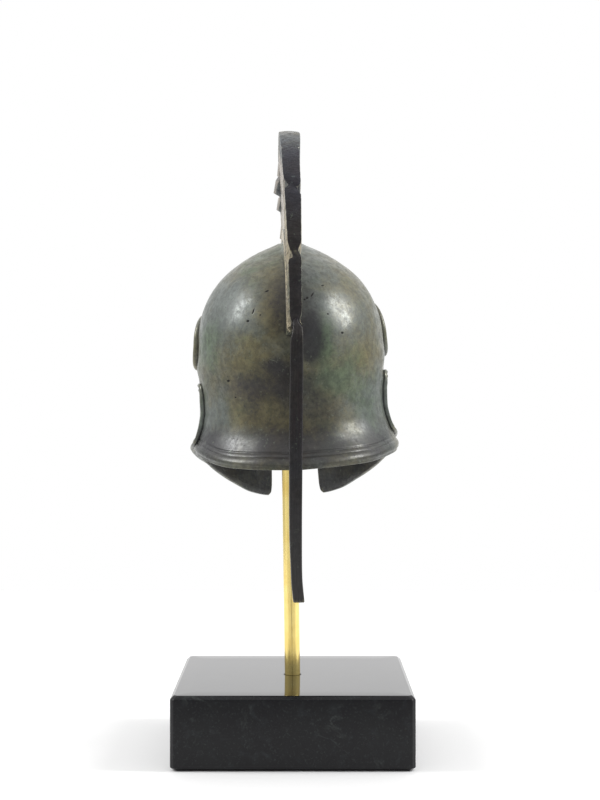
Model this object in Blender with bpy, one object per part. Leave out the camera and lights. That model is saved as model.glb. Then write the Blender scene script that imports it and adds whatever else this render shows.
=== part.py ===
"""A miniature Greek bronze helmet with its crest, on a brass rod over a square marble block.

Run with: blender --background --python part.py. Metres, +Z up.
The origin is the middle of the block's underside, and the helmet's face looks along -Y.
"""

import math

import bmesh
import bpy
import numpy as np
from mathutils import Matrix, Vector

MM = 0.001
GAP = 0.3  # between two pieces that touch; every size below is in millimetres
ROUND_SIDES = 32  # of the rod, its hole and its socket

# ---------------------------------------------------------------- driving sizes
BLOCK_SIDE = 80.0
BLOCK_HEIGHT = 24.5
BLOCK_CHAMFER = 1.2
ROD_RADIUS = 2.7
ROD_HOLE_RADIUS = 3.3
ROD_HOLE_DEPTH = 14.0
ROD_FOOT = GAP - ROD_HOLE_DEPTH  # the rod's two ends, along it from the block's top
ROD_TOP = 142.0
ROD_BROKEN_EDGE = 0.3
ROD_AXIS_X = 0.3
ROD_LEAN_DEG = 0.8
OVERRUN = 5.0  # how far a cutter runs past the face that it opens

# The helmet leans and turns a little on its rod. The crest sits on it nearly upright.
RIM_HEIGHT = 98.0  # heights on the helmet and the crest are counted from this level
PIVOT_HEIGHT = 35.0  # the level about which they lean
HELMET_LEAN_DEG = 2.6
HELMET_TURN_DEG = 1.1
HELMET_SHIFT_X = 0.55
CREST_LEAN_DEG = 0.5
CREST_TURN_DEG = 1.6
CREST_SHIFT_X = 0.85

CROWN_RISE = 31.8  # dome, from its widest level to the crown
EQUATOR_Z = 43.4
WALL = 2.2
SUNK = 0.8  # how deep a raised ornament reaches into the wall that carries it

# The bowl's level sections from the dome's widest level down to the cheek tips.
SECTIONS = np.array(
    [
        # height, half_width, rear, front
        (43.4, 32.2, 40.0, 43.0),
        (36.0, 32.6, 39.4, 43.4),
        (30.0, 32.5, 37.8, 43.8),
        (25.0, 31.9, 36.3, 44.4),
        (20.0, 31.8, 35.6, 45.0),
        (16.0, 32.4, 35.6, 45.6),
        (12.0, 33.6, 36.3, 46.3),
        (9.0, 34.8, 37.8, 46.8),
        (6.0, 35.9, 40.1, 47.2),
        (3.0, 36.5, 42.9, 47.6),
        (0.0, 35.7, 45.4, 48.0),
        (-8.0, 34.0, 46.8, 48.6),
        (-15.0, 33.0, 46.8, 48.8),
    ],
    dtype=[("height", float), ("half_width", float), ("rear", float), ("front", float)],
)

# The bowl's lower edge: level at the nape, lifted at the ears, sweeping down to the cheek tips.
LOWER_EDGE = np.array(
    [
        # angle from the nape in degrees, height
        (0, 0.0),
        (40, 1.1),
        (70, 3.8),
        (92, 4.9),
        (106, 2.4),
        (121, -2.7),
        (136, -7.7),
        (150, -11.8),
        (162, -13.3),
        (180, -13.5),
    ],
    dtype=[("angle", float), ("height", float)],
)
EDGE_SAG = 1.0  # how much higher that edge lies under the +X ear, and lower under the -X one


def curve_through(knots, values, at):
    """Smooth curve through a table's rows that never overshoots them: cubic pieces whose slope at a
    row is the harmonic mean of its two neighbours' slopes, and zero where these change sign."""
    knots = np.asarray(knots, float)
    values = np.asarray(values, float)
    at = np.clip(at, knots[0], knots[-1])
    step = np.diff(knots)
    rise = np.diff(values) / step
    slope = np.zeros(len(knots))
    same = rise[:-1] * rise[1:] > 0
    total = np.where(same, rise[:-1] + rise[1:], 1.0)
    slope[1:-1] = np.where(same, 2 * rise[:-1] * rise[1:] / total, 0.0)
    slope[0], slope[-1] = rise[0], rise[-1]
    i = np.clip(np.searchsorted(knots, at, side="right") - 1, 0, len(step) - 1)
    t = (at - knots[i]) / step[i]
    return (
        values[i] * (1 + 2 * t) * (1 - t) ** 2
        + slope[i] * step[i] * t * (1 - t) ** 2
        + values[i + 1] * t * t * (3 - 2 * t)
        + slope[i + 1] * step[i] * t * t * (t - 1)
    )


def smooth_step(value, low, high):
    """0 up to low, 1 from high on, and a smooth rise in between."""
    share = np.clip((np.asarray(value, float) - low) / (high - low), 0, 1)
    return share * share * (3 - 2 * share)


def section(column, height):
    """A section size at any height: the table below the equator, a quarter ellipse above it."""
    rows = SECTIONS[::-1]
    below = curve_through(rows["height"], rows[column], np.minimum(height, EQUATOR_Z))
    lift = np.clip((height - EQUATOR_Z) / CROWN_RISE, 0.0, 1.0)
    return below * np.sqrt(1 - lift * lift)


def wall_point(angle, height, out=0.0):
    """Point of the bowl's outer wall, moved out by a distance in its level section.
    The angle is in degrees round the bowl: 0 at the nape, 90 at the +X ear, 180 at the brow."""
    angle, height, out = np.broadcast_arrays(np.radians(angle), height, out)
    length = np.where(np.cos(angle) > 0, section("rear", height), section("front", height))
    x = (section("half_width", height) + out) * np.sin(angle)
    y = (length + out) * np.cos(angle)
    return np.stack([x, y, height], axis=-1)


def lower_edge(angle):
    """Height of the bowl's lower edge at an angle in degrees. It differs a little under the ears."""
    turn = np.radians(np.asarray(angle, float))
    folded = 180 - np.abs(180 - np.abs(angle) % 360)
    sag = EDGE_SAG * np.sin(turn) * np.abs(np.sin(turn)) ** 3
    return curve_through(LOWER_EDGE["angle"], LOWER_EDGE["height"], folded) + sag


# ---------------------------------------------------------------- mesh helpers
def new_object(name, points, faces, material=None, helper=False):
    """An object from points in millimetres and faces. Its faces become flat triangles, which a
    Boolean cuts cleanly, and point outwards."""
    mesh = bpy.data.meshes.new(name)
    bm = bmesh.new()
    verts = [bm.verts.new(Vector(p) * MM) for p in np.asarray(points, float)]
    for face in faces:
        bm.faces.new([verts[i] for i in face])
    bmesh.ops.triangulate(bm, faces=bm.faces)
    bmesh.ops.recalc_face_normals(bm, faces=bm.faces)
    bm.to_mesh(mesh)
    bm.free()
    obj = bpy.data.objects.new(name, mesh)
    bpy.context.scene.collection.objects.link(obj)
    if helper:
        obj.hide_render = True
        obj.display_type = "WIRE"
    if material:
        mesh.materials.append(material)
    return obj


def grid_faces(rows, columns, start=0, ring=False):
    """Quads of a grid of points stored row by row; a ring also joins its last column to its first."""
    faces = []
    for r in range(rows - 1):
        for c in range(columns if ring else columns - 1):
            after = (c + 1) % columns
            low, high = start + r * columns, start + (r + 1) * columns
            faces.append((low + c, low + after, high + after, high + c))
    return faces


def loft(name, sections, **kwargs):
    """A closed solid through sections of equal point counts, capped by its first and last section."""
    sections = np.asarray(sections, float)
    rows, columns = sections.shape[:2]
    faces = grid_faces(rows, columns, ring=True)
    faces.append(tuple(range(columns)))
    faces.append(tuple((rows - 1) * columns + c for c in range(columns)))
    return new_object(name, sections.reshape(-1, 3), faces, **kwargs)


def boolean(obj, operation, *others):
    """Adds one Boolean modifier for each helper object."""
    for other in others:
        modifier = obj.modifiers.new(other.name, "BOOLEAN")
        modifier.operation = operation
        modifier.object = other


def shade(obj, sharp_deg=35):
    """Smooth shading that keeps edges sharper than an angle."""
    obj.data.shade_smooth()
    obj.data.set_sharp_from_angle(angle=math.radians(sharp_deg))


def make_material(name, colour, roughness, metallic):
    material = bpy.data.materials.new(name)
    material.use_nodes = True
    shader = material.node_tree.nodes["Principled BSDF"]
    shader.inputs["Base Color"].default_value = (*colour, 1.0)
    shader.inputs["Roughness"].default_value = roughness
    shader.inputs["Metallic"].default_value = metallic
    return material


def make_empty(name, parent=None, location=(0, 0, 0), rotation_deg=(0, 0, 0)):
    empty = bpy.data.objects.new(name, None)
    bpy.context.scene.collection.objects.link(empty)
    empty.parent = parent
    empty.location = Vector(location) * MM
    empty.rotation_euler = [math.radians(a) for a in rotation_deg]
    return empty


def make_leaning_frame(name, shift_x, lean_deg, turn_deg):
    """Empty at the rim's level whose parent, at the pivot's level, leans and turns."""
    pivot = make_empty(
        f"{name}_pivot",
        location=(shift_x, 0, RIM_HEIGHT + PIVOT_HEIGHT),
        rotation_deg=(0, lean_deg, turn_deg),
    )
    return make_empty(f"{name}_frame", parent=pivot, location=(0, 0, -PIVOT_HEIGHT))


# ---------------------------------------------------------------- marble block
def make_block(material):
    """Square block with a small chamfer on every edge and a blind hole for the rod."""
    bpy.ops.mesh.primitive_cube_add(size=1, location=(0, 0, BLOCK_HEIGHT / 2 * MM))
    block = bpy.context.object
    block.name = "marble_block"
    block.data.transform(Matrix.Diagonal((BLOCK_SIDE * MM, BLOCK_SIDE * MM, BLOCK_HEIGHT * MM, 1)))
    chamfer = block.modifiers.new("chamfer", "BEVEL")
    chamfer.width = BLOCK_CHAMFER * MM
    chamfer.segments = 1
    block.data.materials.append(material)
    return block


# ---------------------------------------------------------------- brass rod
def add_cylinder(name, rod_frame, radius, foot, top, helper=True):
    """Round bar on the rod's leaning axis, between two distances from the block's top."""
    bpy.ops.mesh.primitive_cylinder_add(
        vertices=ROUND_SIDES, radius=radius * MM, depth=(top - foot) * MM
    )
    bar = bpy.context.object
    bar.name = name
    bar.parent = rod_frame
    bar.location.z = (foot + top) / 2 * MM
    if helper:
        bar.hide_render = True
        bar.display_type = "WIRE"
    return bar


def make_rod(material, rod_frame):
    """Plain round rod with its ends broken, from the block's blind hole to the crown's socket."""
    rod = add_cylinder("brass_rod", rod_frame, ROD_RADIUS, ROD_FOOT, ROD_TOP, helper=False)
    broken = rod.modifiers.new("broken_ends", "BEVEL")
    broken.width = ROD_BROKEN_EDGE * MM
    broken.segments = 1
    broken.limit_method = "ANGLE"
    rod.data.materials.append(material)
    shade(rod)
    return rod


# ---------------------------------------------------------------- helmet bowl
BOWL_COLUMNS = 64
RIM_BEAD_RISE = 1.0
RIM_BEAD_CENTRE = 2.9
RIM_BEAD_HALF = 1.7
RIM_BEAD_FADE = (80, 100)  # degrees from the nape between which the bead dies away
RIM_ROWS = (6.2, 4.6, 3.9, 2.9, 1.9, 1.2, 0.0)  # heights over the lower edge
INNER_RIM_ROWS = (6.2, 0.0)


def rim_bead(angle, over_edge):
    """How far the round bead stands out of the neck guard; it fades away before the cheeks."""
    across = np.clip(np.abs(over_edge - RIM_BEAD_CENTRE) / RIM_BEAD_HALF, 0, 1)
    start, end = RIM_BEAD_FADE
    along = np.clip((end - np.abs(angle)) / (end - start), 0, 1)
    return RIM_BEAD_RISE * np.sqrt(1 - across * across) * along


def bowl_surface(inset, dome_rows, wall_rows, rim_rows):
    """Rows of points from the crown to the lower edge, each a ring round the bowl. An inset gives
    the inner wall, whose dome is a smaller ellipsoid about the same middle."""
    angle = np.linspace(-180, 180, BOWL_COLUMNS, endpoint=False)
    rings = []
    for polar in np.radians(np.linspace(0, 90, dome_rows + 1)[1:]):
        lift = math.cos(polar) * (CROWN_RISE - inset)
        size = math.sin(polar)
        ring = wall_point(angle, EQUATOR_Z, -inset) * size
        ring[:, 2] = EQUATOR_Z + lift
        rings.append(ring)
    foot = lower_edge(angle) + max(rim_rows)
    for share in np.linspace(0, 1, wall_rows + 1)[1:]:
        height = EQUATOR_Z + (foot - EQUATOR_Z) * share
        rings.append(wall_point(angle, height, -inset))
    for over in rim_rows[1:]:
        bead = rim_bead(angle, over) if inset == 0 else 0.0
        rings.append(wall_point(angle, lower_edge(angle) + over, bead - inset))
    crown = (0.0, 0.0, EQUATOR_Z + CROWN_RISE - inset)
    return crown, np.array(rings)


def make_bowl_shell(material):
    """The bowl with neck guard and cheek guards, before its ornaments and its face opening: an outer
    and an inner wall joined by the flat lower edge."""
    outer_crown, outer = bowl_surface(0.0, dome_rows=9, wall_rows=9, rim_rows=RIM_ROWS)
    inner_crown, inner = bowl_surface(WALL, dome_rows=6, wall_rows=6, rim_rows=INNER_RIM_ROWS)
    n = BOWL_COLUMNS
    points = [outer_crown, *outer.reshape(-1, 3), inner_crown, *inner.reshape(-1, 3)]
    inner_start = 1 + outer.shape[0] * n
    faces = [(0, 1 + c, 1 + (c + 1) % n) for c in range(n)]
    faces += grid_faces(outer.shape[0], n, start=1, ring=True)
    faces += [
        (inner_start, inner_start + 1 + c, inner_start + 1 + (c + 1) % n) for c in range(n)
    ]
    faces += grid_faces(inner.shape[0], n, start=inner_start + 1, ring=True)
    outer_foot = 1 + (outer.shape[0] - 1) * n
    inner_foot = inner_start + 1 + (inner.shape[0] - 1) * n
    for c in range(n):
        after = (c + 1) % n
        faces.append((outer_foot + c, outer_foot + after, inner_foot + after, inner_foot + c))
    return new_object("helmet_bowl", points, faces, material=material)


# The face opening, half of it, seen from the front: from the foot of the slit between the cheek
# guards up to the eye, round the eye, and down the nasal to its tip.
FACE_OPENING = np.array(
    [
        # side, height
        (14.0, -19.0),
        (10.7, -13.6),
        (9.3, -11.9),
        (8.9, -9.0),
        (8.6, -2.0),
        (8.0, 7.0),
        (7.7, 13.5),
        (8.8, 18.0),
        (12.5, 21.2),
        (18.0, 23.4),
        (23.2, 26.6),
        (20.6, 30.4),
        (15.0, 32.6),
        (9.5, 32.2),
        (5.4, 29.6),
        (3.5, 25.8),
        (3.1, 20.0),
        (3.9, 14.0),
        (3.0, 11.4),
        (0.0, 10.6),
    ],
    dtype=[("side", float), ("height", float)],
)
FACE_CUTS = ((-12.0, 0.95), (-70.0, 1.02))  # y of the cutter's two ends, and how wide each one is


def make_face_cutter():
    """Prism that cuts the eyes and the slit through the bowl's front wall only."""
    side = np.concatenate([FACE_OPENING["side"], -FACE_OPENING["side"][-2::-1]])
    height = np.concatenate([FACE_OPENING["height"], FACE_OPENING["height"][-2::-1]])
    ends = [
        np.stack([side * spread, np.full_like(side, y), height], axis=-1) for y, spread in FACE_CUTS
    ]
    return loft("cut_face", ends, helper=True)


# Each cheek guard is a raised panel: up its rear edge, forward under the temple to the eye, down
# beside the slit, and back along the lower edge.
CHEEK_PANEL = np.array(
    [
        # angle from the nape in degrees, height
        (77.0, 10.4),
        (74.5, 16.6),
        (74.0, 24.0),
        (75.0, 28.6),
        (78.5, 30.6),
        (92.0, 30.8),
        (108.0, 30.4),
        (121.0, 29.0),
        (128.5, 26.0),
        (136.0, 22.4),
        (146.0, 20.0),
        (155.0, 17.2),
        (160.0, 13.0),
        (161.6, 6.0),
        (161.4, -2.0),
        (160.6, -9.0),
        (156.0, -11.0),
        (147.0, -8.6),
        (135.0, -4.4),
        (121.0, 0.8),
        (106.0, 5.0),
        (90.0, 8.0),
    ],
    dtype=[("angle", float), ("height", float)],
)
MM_PER_DEGREE = 0.65  # about what one degree round the bowl measures at its sides
CHEEK_CENTRE = (118.0, 12.0)
CHEEK_RISE = 1.3
CHEEK_FIELD = 0.85
CHEEK_STAND = {1: 1.1, -1: 1.15}  # how boldly each side's ornament stands out, +X and -X
CHEEK_RINGS = (0.0, 0.25, 0.5, 0.7, 0.86, 0.93, 1.0)
SIDE_DROP = 1.0  # the +X side's ornaments sit this much lower, the -X side's this much higher
VOLUTE_CENTRE = (101.0, 45.2)
VOLUTE_RADIUS = 9.9
VOLUTE_RISE = 1.25
VOLUTE_DISH = 0.65
VOLUTE_STAND = {1: 1.45, -1: 1.15}
VOLUTE_RINGS = (0.0, 0.22, 0.34, 0.66, 0.84, 1.0)


def raised_patch(name, side, stand, centre, outline, rings, rise):
    """An ornament that stands on the bowl's wall. Its outline is a closed loop of angles and heights,
    rings are shares of the way out from its centre, and rise gives each ring's height before it is
    multiplied by the stand."""
    mirror = 1 if side > 0 else -1
    drop = SIDE_DROP * mirror
    centre, outline = np.array(centre, float), np.array(outline, float)
    count = len(outline)
    points, faces = [], []
    for layer in ("outer", "buried"):
        start = len(points)
        lifts = [r * stand for r in rise] if layer == "outer" else [-SUNK] * len(rings)
        points.append(wall_point(mirror * centre[0], centre[1] - drop, lifts[0]))
        for share, lift in zip(rings[1:], lifts[1:]):
            at = centre + (outline - centre) * share
            points.extend(wall_point(mirror * at[:, 0], at[:, 1] - drop, lift))
        faces += [(start, start + 1 + c, start + 1 + (c + 1) % count) for c in range(count)]
        faces += grid_faces(len(rings) - 1, count, start=start + 1, ring=True)
    rim = 1 + (len(rings) - 2) * count
    below = len(points) // 2 + rim
    for c in range(count):
        after = (c + 1) % count
        faces.append((rim + c, rim + after, below + after, below + c))
    return new_object(name, points, faces, helper=True)


def closed_loop(table, count):
    """Evenly spread points on the smooth closed curve through a table of corners."""
    corners = np.stack([table[c] for c in table.dtype.names], axis=-1)
    closed = np.concatenate([corners, corners[:1]])
    steps = np.hypot(*(np.diff(closed, axis=0) * (MM_PER_DEGREE, 1.0)).T)
    along = np.concatenate([[0], np.cumsum(steps)])
    at = np.linspace(0, along[-1], count, endpoint=False)
    return np.stack([curve_through(along, closed[:, k], at) for k in (0, 1)], axis=-1)


def make_cheek_panels():
    """The two raised cheek panels, with a bead round their border."""
    outline = closed_loop(CHEEK_PANEL, 48)
    rise = [CHEEK_FIELD] * 5 + [CHEEK_RISE, CHEEK_FIELD]
    return [
        raised_patch(f"cheek_panel_{side:+d}", side, stand, CHEEK_CENTRE, outline, CHEEK_RINGS, rise)
        for side, stand in CHEEK_STAND.items()
    ]


def make_volutes():
    """The round ends of the brow band at the temples: a dished disc with a middle button."""
    turn = np.radians(np.arange(0, 360, 12))
    degrees_per_mm = math.degrees(1 / section("front", EQUATOR_Z))
    angle = VOLUTE_CENTRE[0] + VOLUTE_RADIUS * degrees_per_mm * np.cos(turn)
    outline = np.stack([angle, VOLUTE_CENTRE[1] + VOLUTE_RADIUS * np.sin(turn)], axis=-1)
    rise = (VOLUTE_RISE, VOLUTE_RISE, VOLUTE_DISH, VOLUTE_DISH, VOLUTE_RISE, VOLUTE_RISE)
    return [
        raised_patch(f"volute_{side:+d}", side, stand, VOLUTE_CENTRE, outline, VOLUTE_RINGS, rise)
        for side, stand in VOLUTE_STAND.items()
    ]


# The brow band runs from temple to temple over the eyes and peaks over the nasal.
BROW_BAND = np.array(
    [
        # angle from the nape in degrees, height, width
        (107.0, 41.0, 5.0),
        (120.0, 38.2, 5.0),
        (135.0, 36.6, 4.4),
        (150.0, 37.0, 4.4),
        (164.0, 39.6, 4.6),
        (180.0, 43.5, 5.6),
    ],
    dtype=[("angle", float), ("height", float), ("width", float)],
)
BROW_RISE = 1.2
BROW_EDGE_RISE = 0.7
BROW_BAND_RISES_DEG = 6.0  # over how much of each end it rises out of the wall


def make_brow_band():
    """A flat raised band on the wall, swept from one temple to the other. Its ends sink into the wall
    under the borders of the volutes."""
    start = BROW_BAND["angle"][0]
    angle = np.linspace(start, 360 - start, 33)
    folded = 180 - np.abs(180 - angle)
    height = curve_through(BROW_BAND["angle"], BROW_BAND["height"], folded)
    half = curve_through(BROW_BAND["angle"], BROW_BAND["width"], folded) / 2
    risen = smooth_step(folded, start, start + BROW_BAND_RISES_DEG)
    right = [(1.0, -SUNK), (1.0, BROW_EDGE_RISE * risen), (0.7, BROW_RISE * risen)]
    profile = right + [(-k, out) for k, out in reversed(right)]
    sections = np.stack([wall_point(angle, height + k * half, out) for k, out in profile], axis=1)
    return loft("brow_band", sections, helper=True)


# The ridge that the crest stands on runs over the dome's middle arc, where 0 degrees is at the rear,
# 90 at the crown and 180 at the brow. It is highest at the crown, where its foot spreads.
RIDGE_FROM_DEG, RIDGE_TO_DEG = 0.6, 173.0
RIDGE_HALF_WIDTH = 3.3
RIDGE_RISE_CROWN, RIDGE_RISE_END = 2.6, 0.7
RIDGE_FOOT = np.array(
    [(4.2, 2.2), (7.0, 1.4), (11.0, 0.78), (16.5, 0.24), (19.5, 0.02)],
    dtype=[("side", float), ("rise", float)],
)
RIDGE_FOOT_SPAN_DEG = 48.0  # how far from the crown the spreading foot reaches
RIDGE_FOOT_LEAST = 0.25  # share of its spread that the foot keeps at the ridge's two ends
RIDGE_END_WIDTH = 0.72  # share of its width that it keeps at both ends
RIDGE_SUNK = -1.2


def dome_point(arc_deg, side, out):
    """Point of the dome at an angle of its middle arc, at a distance to the side of this arc, and
    lifted off the dome by out."""
    arc, side, out = np.broadcast_arrays(np.radians(arc_deg), side, out)
    equator = SECTIONS[0]
    shrink = np.sqrt(1 - (side / equator["half_width"]) ** 2)
    length = np.where(np.cos(arc) > 0, equator["rear"], equator["front"])
    y = (length * shrink + out) * np.cos(arc)
    z = EQUATOR_Z + (CROWN_RISE * shrink + out) * np.sin(arc)
    return np.stack([side, y, z], axis=-1)


def ridge_rise(arc_deg):
    """Height of the ridge's flat top over the dome: a smooth hump with its peak at the crown."""
    hump = np.clip(np.sin(np.radians(arc_deg)), 0, 1) ** 2
    return RIDGE_RISE_END + (RIDGE_RISE_CROWN - RIDGE_RISE_END) * hump


def make_ridge():
    """The ridge as one swept solid, sunk a little into the dome all along."""
    arc = np.linspace(RIDGE_FROM_DEG, RIDGE_TO_DEG, 26)
    rise = ridge_rise(arc)
    from_crown = np.clip(np.abs(arc - 90) / RIDGE_FOOT_SPAN_DEG, 0, 1)
    spread = np.cos(from_crown * np.pi / 2) ** 2
    kept = RIDGE_FOOT_LEAST + (1 - RIDGE_FOOT_LEAST) * spread
    top = RIDGE_HALF_WIDTH * (RIDGE_END_WIDTH + (1 - RIDGE_END_WIDTH) * spread)
    half = [(top, rise)]
    for foot in RIDGE_FOOT:
        side = top + (foot["side"] - RIDGE_HALF_WIDTH) * kept
        half.append((side, foot["rise"] * spread + RIDGE_SUNK / 2 * (1 - spread)))
    half.append((half[-1][0] + 0.5, np.full_like(arc, RIDGE_SUNK)))
    half.append((half[-1][0] / 2, np.full_like(arc, RIDGE_SUNK)))
    profile = half + [(-side, out) for side, out in reversed(half)]
    sections = np.stack([dome_point(arc, side, out) for side, out in profile], axis=1)
    return loft("crown_ridge", sections, helper=True)


# The solid boss under the crown that the rod is fixed in, along the rod from the block's top.
SOCKET_RADIUS = 5.0
SOCKET_FOOT, SOCKET_TOP = 135.5, 147.0


# ---------------------------------------------------------------- crest
HOLDER_HEIGHT = 4.0
HOLDER_HALF_FRONT, HOLDER_HALF_REAR = 3.3, 2.2
HOLDER_SOFT = 0.6  # how much of each corner is taken off
HOLDER_FRONT_DEG, HOLDER_REAR_DEG = 171.0, 1.0
PLUME_CENTRE = (4.0, 52.0)
PLUME_LENGTH, PLUME_HEIGHT = 50.5, 63.4  # half-axes of the plume's outer ellipse

TUFT_STATIONS = 7

PLUME_SIZES = np.array(
    [
        # share of the way from front to tail, thickness of the body's +X and -X halves and of half the
        # outer edge, and how far the middle of that edge lies to the +X side
        (0.0, 1.5, 1.5, 1.3, 0.0),
        (0.144, 1.6, 1.6, 1.5, 0.0),
        (0.175, 2.0, 1.9, 1.9, 0.0),
        (0.217, 2.3, 2.0, 2.2, 0.0),
        (0.26, 2.8, 2.2, 2.7, 0.0),
        (0.30, 3.1, 2.2, 3.1, 0.0),
        (0.42, 3.4, 2.2, 3.4, 0.25),
        (0.52, 3.4, 2.2, 3.35, 0.3),
        (0.57, 3.4, 2.2, 3.5, 0.14),
        (0.70, 3.0, 2.1, 2.95, 0.22),
        (0.77, 2.85, 2.1, 2.75, -0.05),
        (0.82, 2.75, 2.1, 2.5, -0.2),
        (0.94, 2.4, 2.2, 2.05, -0.45),
        (1.0, 2.3, 2.2, 2.0, -0.5),
    ],
    dtype=[(c, float) for c in ("share", "left_body", "right_body", "edge", "middle")],
)
EDGE_FROM = 0.5  # share of the way out at which the body starts to thin or swell to the edge
NOTCHES = np.array(
    [
        # angle of the joint of two tufts on the outer ellipse, its depth in the outer edge, and for its
        # +X and its -X notch: how far it is moved towards the tail, the share of the thickness it
        # leaves, and the lengths over which it opens before and after
        (180.0, 1.3, 0.0, 0.6, 2.5, 2.5, 0.0, 0.6, 2.5, 2.5),
        (161.0, 1.3, 0.0, 0.6, 2.5, 2.5, 0.0, 0.6, 2.5, 2.5),
        (141.0, 1.3, 0.0, 0.6, 2.5, 2.5, 0.0, 0.6, 2.5, 2.5),
        (121.0, 1.3, 0.0, 0.7, 2.5, 2.5, 0.0, 0.7, 2.5, 2.5),
        (101.0, 1.2, 0.0, 0.75, 2.5, 2.5, 0.0, 0.75, 2.5, 2.5),
        (81.0, 0.8, 0.0, 0.9, 2.5, 1.5, 0.0, 0.9, 2.5, 1.5),
        (59.0, 0.12, 0.0, 0.96, 2.0, 1.5, 0.0, 0.84, 1.0, 1.8),
        (38.9, 0.4, -0.7, 0.42, 3.4, 1.3, 0.6, 0.3, 1.8, 2.8),
        (16.6, 0.5, 1.8, 0.25, 5.4, 1.1, -0.6, 0.5, 2.8, 3.0),
        (-5.0, 0.5, 0.0, 0.35, 2.4, 1.0, -1.0, 0.5, 3.2, 1.0),
    ],
    dtype=[("angle", float), ("depth", float)]
    + [(side + c, float) for side in ("left_", "right_") for c in ("at", "kept", "before", "after")],
)
TUFT_ENDS = NOTCHES["angle"]
PLUME_ROWS = (0.0, 0.1, 0.35, 0.7, 0.92, 1.0)  # shares of the way out from the holder
ROOT_HALF = 1.4  # half the hair's thickness where it comes out of the holder
ROOT_SHARE = 0.1
PLUME_INSET_DEG = 2.0  # the plume's foot ends this far inside the holder's two ends


def tuft_stations():
    """Angle on the outer ellipse and place within its tuft, from 0 to 1, of every station."""
    angles, within = [], []
    spread = (1 - np.cos(np.linspace(0, math.pi, TUFT_STATIONS))) / 2
    for start, end in zip(TUFT_ENDS, TUFT_ENDS[1:]):
        last = end == TUFT_ENDS[-1]
        places = spread if last else spread[:-1]
        angles.extend(start + (end - start) * places)
        within.extend(places)
    return np.array(angles), np.array(within)


def tuft_swell(within):
    """Round profile of one tuft between its two joints, 0 at the joints and 1 over its middle."""
    return 1 - np.abs(2 * within - 1) ** 5


def notch_share(angle, side):
    """Share of the thickness that the notches of one face leave at an angle: the least of what each
    joint leaves, rising from its notch as one less a power of the rest of the way."""
    mm_per_degree = math.radians((PLUME_LENGTH + PLUME_HEIGHT) / 2)
    least = np.ones_like(angle)
    for joint in NOTCHES:
        past = (joint["angle"] - angle) * mm_per_degree - joint[side + "at"]
        slope = np.where(past < 0, joint[side + "before"], joint[side + "after"])
        rest = 1 - np.clip(np.abs(past) / slope, 0, 1)
        left_there = joint[side + "kept"] + (1 - joint[side + "kept"]) * (1 - rest**1.5)
        least = np.minimum(least, left_there)
    return least


def plume_outline(angle_deg, within):
    """Outer edge of the plume in the crest's plane, as y and z, swelling between the joints."""
    angle = np.radians(angle_deg)
    depth = np.interp(-angle_deg, -NOTCHES["angle"], NOTCHES["depth"])
    bulge = depth * (tuft_swell(within) - 1)
    y = PLUME_CENTRE[0] + (PLUME_LENGTH + bulge) * np.cos(angle)
    z = PLUME_CENTRE[1] + (PLUME_HEIGHT + bulge) * np.sin(angle)
    return np.stack([y, z], axis=-1)


def make_plume(material):
    """The fan of hair over the holder: two faces of tufts that pinch where they meet, joined along
    the outer edge, the holder and the two ends."""
    angle, within = tuft_stations()
    share = (TUFT_ENDS[0] - angle) / (TUFT_ENDS[0] - TUFT_ENDS[-1])
    outer = plume_outline(angle, within)
    foot_from, foot_to = HOLDER_FRONT_DEG - PLUME_INSET_DEG, HOLDER_REAR_DEG + PLUME_INSET_DEG
    arc = foot_from + (foot_to - foot_from) * share
    inner = dome_point(arc, 0.0, ridge_rise(arc) + GAP + HOLDER_HEIGHT / 2)[:, 1:]
    edge, middle = (curve_through(PLUME_SIZES["share"], PLUME_SIZES[c], share) for c in ("edge", "middle"))
    faces_points = []
    for side, name in ((1, "left_"), (-1, "right_")):
        body = curve_through(PLUME_SIZES["share"], PLUME_SIZES[name + "body"], share)
        kept = notch_share(angle, name)
        rows = []
        for r in PLUME_ROWS:
            flat = inner + (outer - inner) * r
            out = smooth_step(r, EDGE_FROM, 1.0)
            half = (body * (1 - out) + edge * out) * (1 - (1 - kept) * smooth_step(r, 0.3, 0.9))
            if r <= ROOT_SHARE:
                half = np.minimum(half, ROOT_HALF)
            rows.append(np.column_stack([side * half + middle * out, flat]))
        faces_points.append(np.array(rows))
    rows, columns = len(PLUME_ROWS), len(angle)
    points = np.concatenate([f.reshape(-1, 3) for f in faces_points])
    other = rows * columns
    faces = grid_faces(rows, columns) + grid_faces(rows, columns, start=other)
    for c in range(columns - 1):
        for row in (0, (rows - 1) * columns):
            faces.append((row + c, row + c + 1, other + row + c + 1, other + row + c))
    for r in range(rows - 1):
        for column in (0, columns - 1):
            low, high = r * columns + column, (r + 1) * columns + column
            faces.append((low, high, other + high, other + low))
    return new_object("crest", points, faces, material=material)


def make_holder():
    """The curved bar along the ridge that holds the hair, with softened edges."""
    arc = np.linspace(HOLDER_FRONT_DEG, HOLDER_REAR_DEG, 37)
    half = np.linspace(HOLDER_HALF_FRONT, HOLDER_HALF_REAR, 37)
    low = ridge_rise(arc) + GAP
    high = low + HOLDER_HEIGHT
    soft = HOLDER_SOFT
    right = [(half - soft, low), (half, low + soft), (half, high - soft), (half - soft, high)]
    profile = right + [(-x, out) for x, out in reversed(right)]
    sections = []
    for x, out in profile:
        points = dome_point(arc, 0.0, out)
        points[:, 0] = x
        sections.append(points)
    return loft("crest_holder", np.stack(sections, axis=1), helper=True)


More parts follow.
